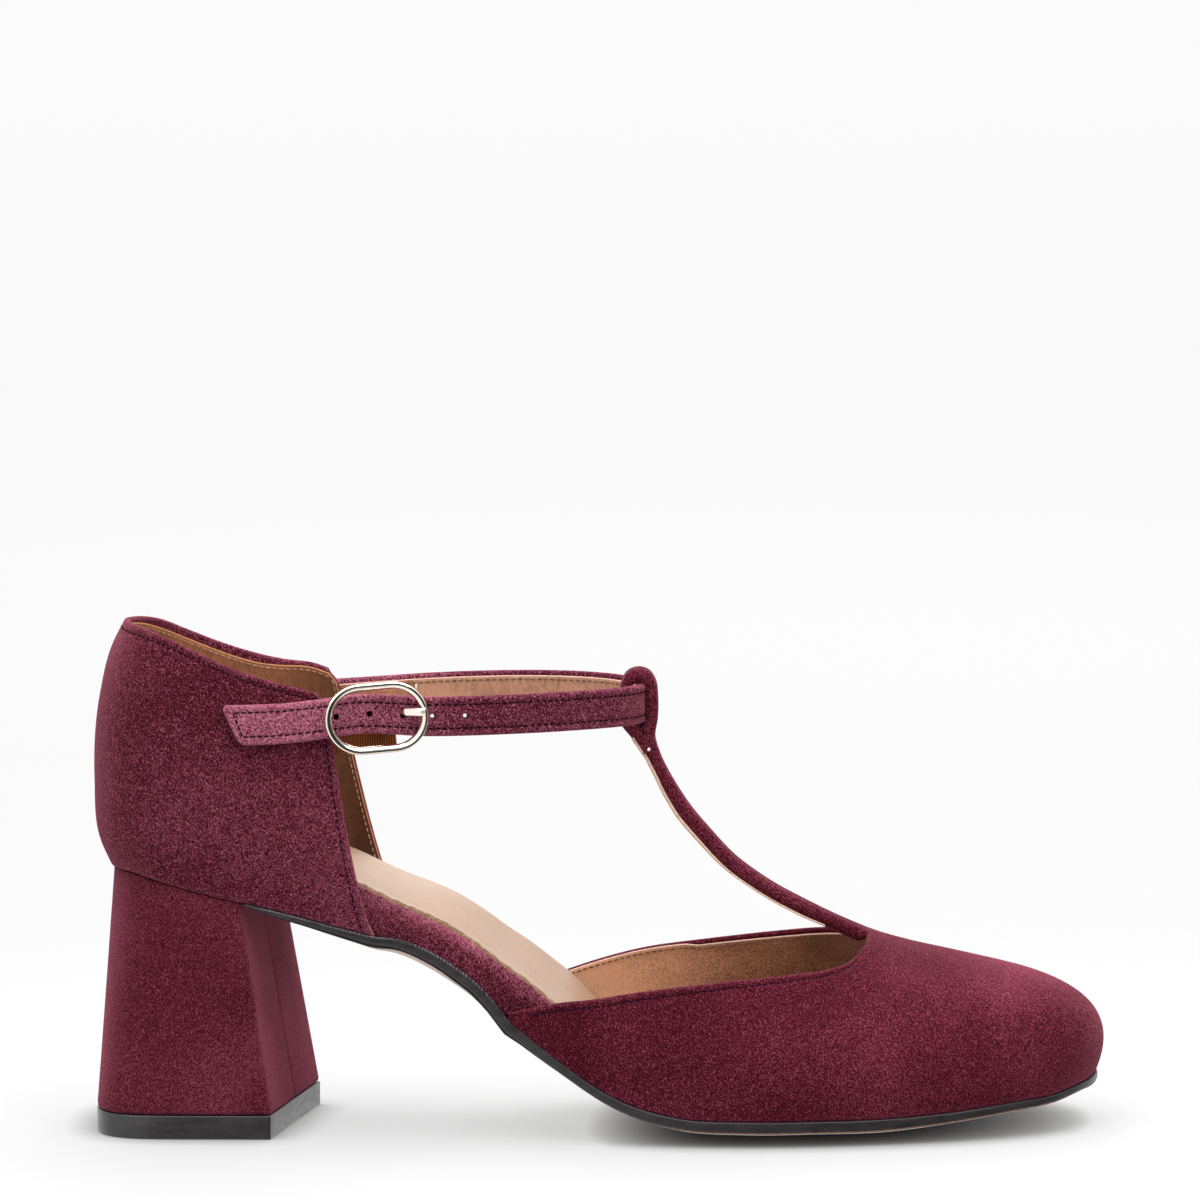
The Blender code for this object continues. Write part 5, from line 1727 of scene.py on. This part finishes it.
class PUMP_OT_buckle(bpy.types.Operator):
    """Make the plated buckle frame and prong, and the ribbed elastic tab that holds them"""

    bl_idname = "pump.buckle"
    bl_label = "Buckle"

    def execute(self, context):
        place = BuckleFrame()
        self.frame(place)
        self.prong(place)
        self.elastic(place)
        return {"FINISHED"}

    def frame(self, place):
        """Oblong wire frame, dished a little, and the bar that it carries behind the strap."""
        tall = BUCKLE_TALL / 2 - WIRE_RADIUS
        flat = BUCKLE_LONG / 2 - WIRE_RADIUS - tall
        outline = arc((flat, 0), tall, -90, 90, 33) + arc((-flat, 0), tall, 90, 270, 33)
        ring = np.array([place.at(a, FRAME_OUT, u) for a, u in outline])
        points, faces = tube(ring, (WIRE_RADIUS, WIRE_RADIUS), WIRE_SIDES, closed=True)
        spine = [place.at(np.clip(a, -flat, flat), FRAME_OUT, 0) for a, _ in outline]
        beyond = np.repeat(unit(ring - spine), WIRE_SIDES, axis=0)
        outward = np.sum((points - np.repeat(ring, WIRE_SIDES, axis=0)) * beyond, axis=1)
        points = points + place.out * (FRAME_DISH * outward)[:, None]
        add_piece("buckle_frame", points, faces, ["gold"], "gold", ["buckle_frame"])
        side_view = [(BAR_OUT, BAR_TOP), (BAR_OUT, 0)]
        side_view += arc((BAR_OUT + BAR_BEND, BAR_BEND - tall), BAR_BEND, 180, 270, 8)
        side_view += [(FRAME_OUT, -tall)]
        path = [place.at(BAR_ALONG, o, u) for o, u in side_view]
        add_piece("buckle_bar", *tube(path, (BAR_RADIUS, BAR_RADIUS), THIN_SIDES), ["gold"], "gold")

    def prong(self, place):
        """Wire from its ring round the bar, through a hole of the strap and over the frame."""
        turn = BAR_RADIUS + GAP + PRONG_RADIUS
        rest = FRAME_OUT + WIRE_RADIUS + GAP + PRONG_RADIUS
        ring = arc((BAR_ALONG, BAR_OUT), turn, 380, 90, 24)
        hole = HOLES_X[2] - BUCKLE_X
        long = BUCKLE_LONG / 2 - WIRE_RADIUS
        through = [
            (hole - 3.1, BAR_OUT + turn),
            (hole - 1.3, BAR_OUT + turn + 0.2),
            (hole - 0.2, -1.2),
            (hole + 0.15, 0.8),
            (hole + 0.6, 1.9),
            (hole + 1.6, 2.6),
            (long - 1.2, rest - 0.3),
            (long + 0.3, rest),
        ]
        path = [*ring, *spline([ring[-1], *through], 6)[1:]]
        wire = [place.at(a, o, PRONG_UP) for a, o in path]
        points, faces = tube(wire, (PRONG_TALL, PRONG_RADIUS), THIN_SIDES)
        add_piece("buckle_prong", points, faces, ["gold"], "gold", ["buckle_prong"])

    def elastic(self, place):
        """Tab from inside the quarter to the bar and round it, with a slot for the prong."""
        half = ELASTIC_WIDTH / 2
        drop = ELASTIC_DROP
        inner = WALL + ELASTIC_CLEAR + ELASTIC_THICK / 2
        radius = BAR_RADIUS + GAP + ELASTIC_THICK / 2
        bend = arc((BAR_ALONG, BAR_OUT), radius, -110, 130, 25)
        lines = []
        for side in (-half, half):
            rows = []
            for x, z in zip(ELASTIC_END["x"], ELASTIC_END["z"]):
                rows.append((x, quarter_face("lateral", x, z + side) + inner, z + side))
            rows = list(spline(rows + [place.at(-3.2, BAR_OUT - radius, side - drop)], 12)[:-1])
            rows += [place.at(a, o, side - drop) for a, o in bend]
            lines.append(np.array(rows))
        slot = [PRONG_UP + drop - PRONG_SLOT_HALF, PRONG_UP + drop + PRONG_SLOT_HALF]
        places = 0.5 + np.array([-half, -half * 0.6, *slot, half * 0.8, half]) / ELASTIC_WIDTH
        count = len(lines[0])
        missing = [(i, 2) for i in range(count - len(bend) - 1, count - 1)]
        sheet = sheet_of(crossing(*lines, places), OUT_Y["lateral"], ELASTIC_THICK, missing)
        sheet.points += sheet.normals * ELASTIC_THICK / 2
        folded_piece("buckle_elastic", sheet, ["elastic"], "elastic", ["buckle_elastic"])


def rows_round_toe(plan, starts, spacing, fan_count):
    """Edge points and middle points in plan, from the outer side round the toe to the inner."""
    feet = []
    for name in SIDES:
        x = starts[name] + (TOE_PIVOT[0] - starts[name]) * spacing
        feet.append(np.stack([x, plan.side(name, x)], axis=1))
    middle_x = (feet[0][:, 0] + feet[1][:, 0]) / 2
    outer = smooth(SECTIONS, "lateral", middle_x)
    inner = smooth(SECTIONS, "medial", middle_x)
    lead = ramp(SPINE_BENDS_AT, TOE_PIVOT[0], middle_x)
    middle_y = (outer + inner) / 2 * (1 - lead) + TOE_PIVOT[1] * lead
    spine = np.stack([middle_x, middle_y], axis=1)
    front, _ = plan.fan(TOE_PIVOT, 1, half_turn(fan_count + 2)[1:-1])
    feet = np.concatenate([feet[0], front, feet[1][::-1]])
    middles = np.concatenate([spine, np.tile(spine[-1], (fan_count, 1)), spine[::-1]])
    return feet, middles


def inward_plan(feet, middles, near, count):
    """Points in plan from the edge to the middle, at given distances and then evenly, and those distances."""
    reach = np.linalg.norm(middles - feet, axis=1)
    near = np.broadcast_to(near, (len(feet), np.shape(near)[-1]))
    rest = np.linspace(0, 1, count + 1)[1:]
    away = np.concatenate([near, near[:, -1:] + (reach[:, None] - near[:, -1:]) * rest], axis=1)
    plan = feet[:, None] + (middles - feet)[:, None] * (away / reach[:, None])[..., None]
    return plan, away


class PUMP_OT_footbed(bpy.types.Operator):
    """Make the padded leather footbed and the rough edge of its cover at the waist"""

    bl_idname = "pump.footbed"
    bl_label = "Footbed"

    def execute(self, context):
        plan = FEATHER.inset(bed_inset)
        starts = dict.fromkeys(SIDES, HEEL_PIVOT[0])
        feet, middles = rows_round_toe(plan, starts, np.linspace(0, 1, 80), 31)
        back, _ = plan.fan(HEEL_PIVOT, -1, -half_turn(33)[1:-1])
        feet = np.concatenate([feet, back, feet[:1]])
        middles = np.concatenate([middles, np.tile(middles[-1], (len(back), 1)), middles[:1]])
        flat, away = inward_plan(feet, middles, BED_EDGE_ROWS, 14)
        x, y = flat[..., 0], flat[..., 1]
        upper = np.stack([x, y, bed_top(x, y) - rounding(away, BED_EDGE, BED_EDGE_DROP)], axis=2)
        lower = np.stack([x, y, bed_bottom(x, y)], axis=2)
        side = [upper[:, 0] + (lower[:, 0] - upper[:, 0]) * share for share in (1.0, 0.66, 0.33)]
        sheet = Sheet()
        sheet.grid(np.concatenate([np.stack(side, axis=1), upper], axis=1), OUT_Y["lateral"])
        sheet.grid(lower[:, ::3], DOWN)
        sheet.weld()
        made = add_piece("insole", sheet.points, sheet.faces, ["footbed"], "footbed", ["insole"])
        self.frayed_edge("lateral", "cover_edge_outer", plan)
        self.frayed_edge("medial", "cover_edge_inner", plan)
        return {"FINISHED"}

    def frayed_edge(self, name, label, plan):
        """Thin torn strip between the cover and the suede below it, with a broad part on the outer side."""
        x = np.linspace(WRAP_RANGE[0] + 4, WRAP_RANGE[1] - 2, 130)
        y = plan.side(name, x)
        inward = -OUTWARD[name]
        wide = FRAYED_WIDE + FRAYED_RAGGED * waves(x, FRAYED_WAVES)
        if name == "lateral":
            wide = wide + FRAYED_BROAD * hill(x, *FRAYED_BROAD_AT)
        rows = []
        for share, drop in FRAYED_ROWS:
            place = y + inward * (-FRAYED_OUT + wide * share)
            z = bed_top(x, place) - rounding(inward * (place - y), BED_EDGE, BED_EDGE_DROP) - drop
            rows.append(np.stack([x, place, z + FRAYED_LIFT[name]], axis=1))
        sheet = sheet_of(np.stack(rows, axis=1), UP, FRAYED_THICK)
        folded_piece(label, sheet, ["frayed_edge"], "footbed")


class PUMP_OT_waist_wraps(bpy.types.Operator):
    """Make the suede that wraps the footbed's edge at the open waist, on both sides"""

    bl_idname = "pump.waist_wraps"
    bl_label = "Waist wraps"

    def execute(self, context):
        self.wrap("lateral", "waist_wrap_outer")
        self.wrap("medial", "waist_wrap_inner")
        return {"FINISHED"}

    def wrap(self, name, label):
        x = np.linspace(*WRAP_RANGE, 90)
        outer = FEATHER.inset(wrap_inset).side(name, x)
        bed = FEATHER.inset(bed_inset).side(name, x)
        inward = -OUTWARD[name]
        low = sole_top(x, outer) - TUCKED
        high = bed_top(x, bed) - BED_ROUND + TUCKED
        swell = WRAP_SWELL * between(WAIST_OPEN, x)
        depth = np.abs(bed - outer) + swell - TUCKED
        rows = []
        for turn in np.radians(np.linspace(0, 90, 24)):
            y = outer - inward * swell + inward * depth * (1 - math.cos(turn) ** WRAP_POWERS["over"])
            z = low + (high - low) * math.sin(turn) ** WRAP_POWERS["up"]
            rows.append(np.stack([x, y, z], axis=1))
        points, faces, _ = sheet_of(np.stack(rows, axis=1), OUT_Y[name], WRAP_SHELL).folded()
        bottom = np.interp(points[:, 0], x, low)
        share = (points[:, 2] - bottom) / (np.interp(points[:, 0], x, high) - bottom)
        # Painted highlight along the wrap's top and painted shade lower down
        rub = WRAP_TOP_HIGHLIGHT * ramp(0.5, 0.95, share) - WRAP_LOW_SHADE
        add_piece(label, points, faces, ["suede"], "suede", [label], rub=rub)


class PUMP_OT_outsole(bpy.types.Operator):
    """Make the thin outsole with its charcoal edge and pale tread"""

    bl_idname = "pump.outsole"
    bl_label = "Outsole"

    def execute(self, context):
        starts = {name: x + 3 * GAP for name, x in BREAST_TOP.items()}
        feet, middles = rows_round_toe(FEATHER.inset(-SOLE_EDGE), starts, np.linspace(0, 1, 90), 41)
        paint = np.interp(feet[:, 0], *EDGE_PAINT)
        paint = np.where(feet[:, 1] > middles[:, 1], np.minimum(paint, INNER_PAINT), paint)
        deep = paint > 2 * BARE_LINE
        line = np.where(deep, paint - BARE_LINE, SOLE_ROUND + (paint - SOLE_ROUND) * 0.6)
        near = np.tile([0.0, 0.1, SOLE_ROUND], (len(feet), 1))
        near = np.column_stack([near, (line + SOLE_ROUND) / 2, line, paint])
        flat, away = inward_plan(feet, middles, near, 10)
        x, y = flat[..., 0], flat[..., 1]
        round_by = rounding(away, SOLE_ROUND, SOLE_ROUND)
        top = np.stack([x, y, sole_top(x, y) - round_by], axis=2)
        bottom = np.stack([x, y, sole_bottom(x, y) + round_by], axis=2)
        out = unit(feet - middles)
        side = []
        for share in SOLE_SIDE:
            ring = bottom[:, 0] + (top[:, 0] - bottom[:, 0]) * (1 - share)
            ring[:, :2] += out * SOLE_SWELL * math.sin(math.pi * share)
            side.append(ring)
        layers = np.concatenate([bottom[:, ::-1], np.stack(side, axis=1), top], axis=1)
        sheet = sheet_of(layers, DOWN)
        count = away.shape[1]
        # Mask of the painted highlight along the top of the edge, kept in the point attribute
        ledge = np.zeros(layers.shape[1])
        ledge[count : count + len(LEDGE_HIGHLIGHT)] = LEDGE_HIGHLIGHT
        lit = np.zeros(len(sheet.points))
        lit[sheet.maps[0]] = ledge
        under = np.arange(count - 1, 0, -1)
        index = np.zeros((len(x) - 1, layers.shape[1] - 1), int)
        index[:, : count - 1] = np.where(under > PAINT_ROWS, 1, np.where(under > 2, 2, 0))
        bare = np.where(deep[1:, None], under == PAINT_ROWS, under <= 2)
        index[:, : count - 1][bare] = 3
        made = add_piece(
            "outsole", sheet.points, sheet.faces, SOLE_FINISHES, "sole_black", ["outsole"],
            index.ravel(), lit, sharp=60.0,
        )
        turn_out(made)
        return {"FINISHED"}


def heel_ring(level, round_by=BREAST_CORNER):
    """Outline of the heel from top (0) to foot (1), rounded at the breast's corners, and where its seam is."""
    plan = FEATHER.inset(HEEL_INSET)
    share = np.linspace(0, 1, 12)[:-1]
    angles = half_turn(61)
    tops = []
    foots = []
    middle_x, middle_y = HEEL_FOOT_MID
    for name in SIDES:
        x = BREAST_TOP[name] + (HEEL_PIVOT[0] - BREAST_TOP[name]) * share
        tops.append(np.stack([x, plan.side(name, x)], axis=1))
        start = np.array(BREAST_FOOT[name])
        end = np.array([middle_x, middle_y + OUTWARD[name] * HEEL_FOOT_HALF])
        foots.append(start + (end - start) * share[:, None])
    back, _ = plan.fan(HEEL_PIVOT, -1, angles)
    bend = 2 / HEEL_FOOT_POWER
    sine = np.sin(angles)
    curve_x = middle_x - HEEL_FOOT_BACK * np.cos(angles) ** bend
    curve_y = middle_y + HEEL_FOOT_HALF * np.sign(sine) * np.abs(sine) ** bend
    top_ring = np.concatenate([tops[0], back, tops[1][::-1]])
    foot_ring = np.concatenate([foots[0], np.stack([curve_x, curve_y], axis=1), foots[1][::-1]])
    ring = top_ring + (foot_ring - top_ring) * level
    first, last = ring[0], ring[-1]
    wide = np.linalg.norm(first - last)
    away = np.concatenate([-SEAM_COLUMNS[:0:-1], SEAM_COLUMNS])
    sides = np.linspace(SEAM_COLUMNS[-1], wide / 2 - round_by, 6)[1:]
    away = np.concatenate([-sides[::-1], away, sides])
    breast = (first + last) / 2 + unit(first - last) * away[:, None]
    start = first + unit(ring[1] - first) * round_by
    stop = last + unit(ring[-2] - last) * round_by
    t = np.linspace(0, 1, 7)[1:-1, None]
    arcs = []
    for corner, before, after in ((last, stop, breast[0]), (first, breast[-1], start)):
        arcs.append(before * (1 - t) ** 2 + 2 * corner * t * (1 - t) + after * t**2)
    body = ring[1:-1]
    outline = np.concatenate([[start], body, [stop], arcs[0], breast, arcs[1]])
    return outline, len(body) + 2 + len(arcs[0]) + len(breast) // 2


def closed_rings(rings):
    """Points and faces of a body through closed rings of equal count, with both ends filled."""
    count = len(rings[0])
    faces = []
    for i in range(len(rings) - 1):
        for j in range(count):
            k = (j + 1) % count
            faces.append((i * count + j, (i + 1) * count + j, (i + 1) * count + k, i * count + k))
    return fill_ends(np.concatenate(rings), faces, count, (rings[0].mean(axis=0), rings[-1].mean(axis=0)))


class PUMP_OT_heel(bpy.types.Operator):
    """Make the suede-covered heel block with its breast seam, and the heel tip"""

    bl_idname = "pump.heel"
    bl_label = "Heel"

    def execute(self, context):
        self.block()
        self.tip()
        return {"FINISHED"}

    def block(self):
        """The block under the sole, with a seam down its breast and its foot tucked in above the tip."""
        low = TIP_THICK + GAP
        top, seam = heel_ring(0.0)
        centre = top.mean(axis=0)
        rings = []
        for scale in HEEL_TOP_SCALES:
            plan = centre + (top - centre) * scale
            rings.append(np.column_stack([plan, sole_top(plan[:, 0], plan[:, 1]) - GAP / 2]))
        top_z = sole_top(top[:, 0], top[:, 1]) - GAP / 2
        away = np.abs(np.arange(len(top)) - seam)
        groove = np.zeros(len(top))
        for step, depth in SEAM_GROOVE:
            groove[away == step] = depth
        for level in (*np.linspace(0, HEEL_TUCK_FROM, 46), 0.995, 1.0):
            plan, _ = heel_ring(level)
            along = unit(np.roll(plan, -1, axis=0) - np.roll(plan, 1, axis=0))
            inward = np.stack([along[:, 1], -along[:, 0]], axis=1)
            inward *= np.sign(np.sum(inward * (plan.mean(axis=0) - plan), axis=1))[:, None]
            tuck = HEEL_TUCK * max(0.0, (level - HEEL_TUCK_FROM) / (1 - HEEL_TUCK_FROM)) ** 2
            plan = plan + inward * (groove + tuck)[:, None]
            rings.append(np.column_stack([plan, top_z + (low - top_z) * level]))
        points, faces = closed_rings(rings)
        corners = []
        for ring in rings[len(HEEL_TOP_SCALES) :]:
            corners += [ring[seam - BREAST_COLUMNS], ring[seam + BREAST_COLUMNS]]
        # Lighter at the breast's corners, for rubbed nap and a painted sheen, and painted bounce light over
        # the breast
        rub = closeness(points, np.array(corners), BREAST_CORNER)
        breast = np.flatnonzero(np.tile(away < BREAST_COLUMNS, len(rings)))
        rub[breast] = np.maximum(rub[breast], BREAST_BOUNCE_LIGHT)
        turn_out(add_piece("heel", points, faces, ["heel_suede"], "suede", ["heel"], rub=rub))

    def tip(self):
        plan, _ = heel_ring(1.0, TIP_CORNER)
        centre = plan.mean(axis=0)
        rings = []
        for z, inset in TIP_RINGS:
            inner = plan + unit(centre - plan) * inset
            rings.append(np.column_stack([inner, np.full(len(plan), z)]))
        points, faces = closed_rings(rings)
        turn_out(add_piece("heel_tip", points, faces, ["charcoal"], "sole_black", ["heel_tip"]))


class PUMP_OT_stage(bpy.types.Operator):
    """Make the pale floor, the studio light and the camera"""

    bl_idname = "pump.stage"
    bl_label = "Studio"

    def execute(self, context):
        scene = context.scene
        studio = scene.pump_studio
        self.camera(scene, studio)
        self.floor(scene)
        self.ambient(scene, studio.ambient)
        self.lights(scene, studio)
        scene.view_settings.view_transform = "Standard"
        return {"FINISHED"}

    def camera(self, scene, studio):
        data = bpy.data.cameras.new("camera")
        data.lens = studio.lens
        data.sensor_width = 36.0
        data.clip_end = 100.0
        made = bpy.data.objects.new("camera", data)
        back = Vector((0.0, -math.cos(studio.pitch), math.sin(studio.pitch)))
        made.location = Vector(studio.aim) + back * studio.distance
        made.rotation_euler = (-back).to_track_quat("-Z", "Y").to_euler()
        scene.collection.objects.link(made)
        scene.camera = made

    def floor(self, scene):
        """A floor that curves up into a backdrop."""
        side_view = [(y, 0.0) for y in FLOOR_FLAT]
        side_view += arc((FLOOR_FAR - FLOOR_BEND, FLOOR_BEND), FLOOR_BEND, -90, 0, 13)
        side_view += [(FLOOR_FAR, FLOOR_TALL)]
        points = [(x, y, z) for y, z in side_view for x in FLOOR_ACROSS]
        wide = len(FLOOR_ACROSS)
        faces = []
        for i in range(len(side_view) - 1):
            for j in range(wide - 1):
                first = i * wide + j
                faces.append((first, first + 1, first + wide + 1, first + wide))
        mesh = bpy.data.meshes.new("floor")
        mesh.from_pydata(points, [], faces)
        mesh.shade_smooth()
        mesh.materials.append(self.glowing_floor(scene.pump_colours.floor))
        made = bpy.data.objects.new("floor", mesh)
        made.visible_glossy = False
        scene.collection.objects.link(made)

    def glowing_floor(self, base):
        """A floor that glows evenly, with a painted contact shadow in its glow where something stands close to
        it.
        """
        finish = Finish("floor", base, 0.9, specular_ior_level=0.1)
        finish.set("Emission Color", (1.0, 1.0, 1.0, 1.0))
        y = finish.axis("Y")
        glow = finish.add(*[finish.spread(y, *part) for part in FLOOR_GLOW])
        near, wide = [
            finish.node("ShaderNodeAmbientOcclusion", {"Distance": reach}, output="AO", samples=8)
            for reach in FLOOR_SHADE
        ]
        opening = finish.times(near, finish.spread(wide, 0.0, 1.0, WIDE_SHADE, 1.0))
        finish.drive("Emission Strength", finish.times(glow, opening))
        return finish.material

    def ambient(self, scene, strength):
        """Light from all round, which is dark in one direction and stronger in reflections."""
        world = bpy.data.worlds.new("studio")
        world.use_nodes = True
        made = Nodes(world.node_tree)
        sky = made.nodes["Background"].inputs
        direction = made.node("ShaderNodeTexCoord", {}, output="Generated")
        inputs = {0: direction, 1: DARK_WAY}
        way = made.node("ShaderNodeVectorMath", inputs, output="Value", operation="DOT_PRODUCT")
        made.links.new(made.spread(way, *DARK_SPREAD), sky["Color"])
        reflected = made.node("ShaderNodeLightPath", {}, output="Is Glossy Ray")
        made.links.new(made.spread(reflected, 0.0, 1.0, strength, GLOSSY_GAIN * strength), sky["Strength"])
        scene.world = world

    def lights(self, scene, studio):
        for name, place, size, setting in LIGHTS:
            data = bpy.data.lights.new(name, "AREA")
            data.energy = getattr(studio, setting)
            data.size = size
            made = bpy.data.objects.new(name, data)
            made.location = place
            aim = Vector(LIGHTS_AIM) - Vector(place)
            made.rotation_euler = aim.to_track_quat("-Z", "Y").to_euler()
            made.visible_glossy = name != "front_right"
            scene.collection.objects.link(made)


PIECES = (
    PUMP_OT_outsole,
    PUMP_OT_heel,
    PUMP_OT_footbed,
    PUMP_OT_waist_wraps,
    PUMP_OT_vamp,
    PUMP_OT_quarter,
    PUMP_OT_ankle_strap,
    PUMP_OT_buckle,
    PUMP_OT_stage,
)


class PUMP_PT_panel(bpy.types.Panel):
    """Lists the pieces of the pump and their settings"""

    bl_idname = "PUMP_PT_panel"
    bl_label = "T-strap pump"
    bl_space_type = "VIEW_3D"
    bl_region_type = "UI"
    bl_category = "Pump"

    def draw(self, context):
        layout = self.layout
        for piece in PIECES:
            layout.operator(piece.bl_idname)
        for group in (context.scene.pump_sizes, context.scene.pump_colours, context.scene.pump_studio):
            column = layout.column(align=True)
            for name in group.__annotations__:
                column.prop(group, name)


CLASSES = (PumpSizes, PumpColours, PumpStudio, *PIECES, PUMP_PT_panel)


def register():
    for made in CLASSES:
        bpy.utils.register_class(made)
    bpy.types.Scene.pump_sizes = PointerProperty(type=PumpSizes)
    bpy.types.Scene.pump_colours = PointerProperty(type=PumpColours)
    bpy.types.Scene.pump_studio = PointerProperty(type=PumpStudio)


def unregister():
    del bpy.types.Scene.pump_studio
    del bpy.types.Scene.pump_colours
    del bpy.types.Scene.pump_sizes
    for made in reversed(CLASSES):
        bpy.utils.unregister_class(made)


def main():
    register()
    for piece in PIECES:
        group, name = piece.bl_idname.split(".")
        getattr(getattr(bpy.ops, group), name)()


if __name__ == "__main__":
    main()
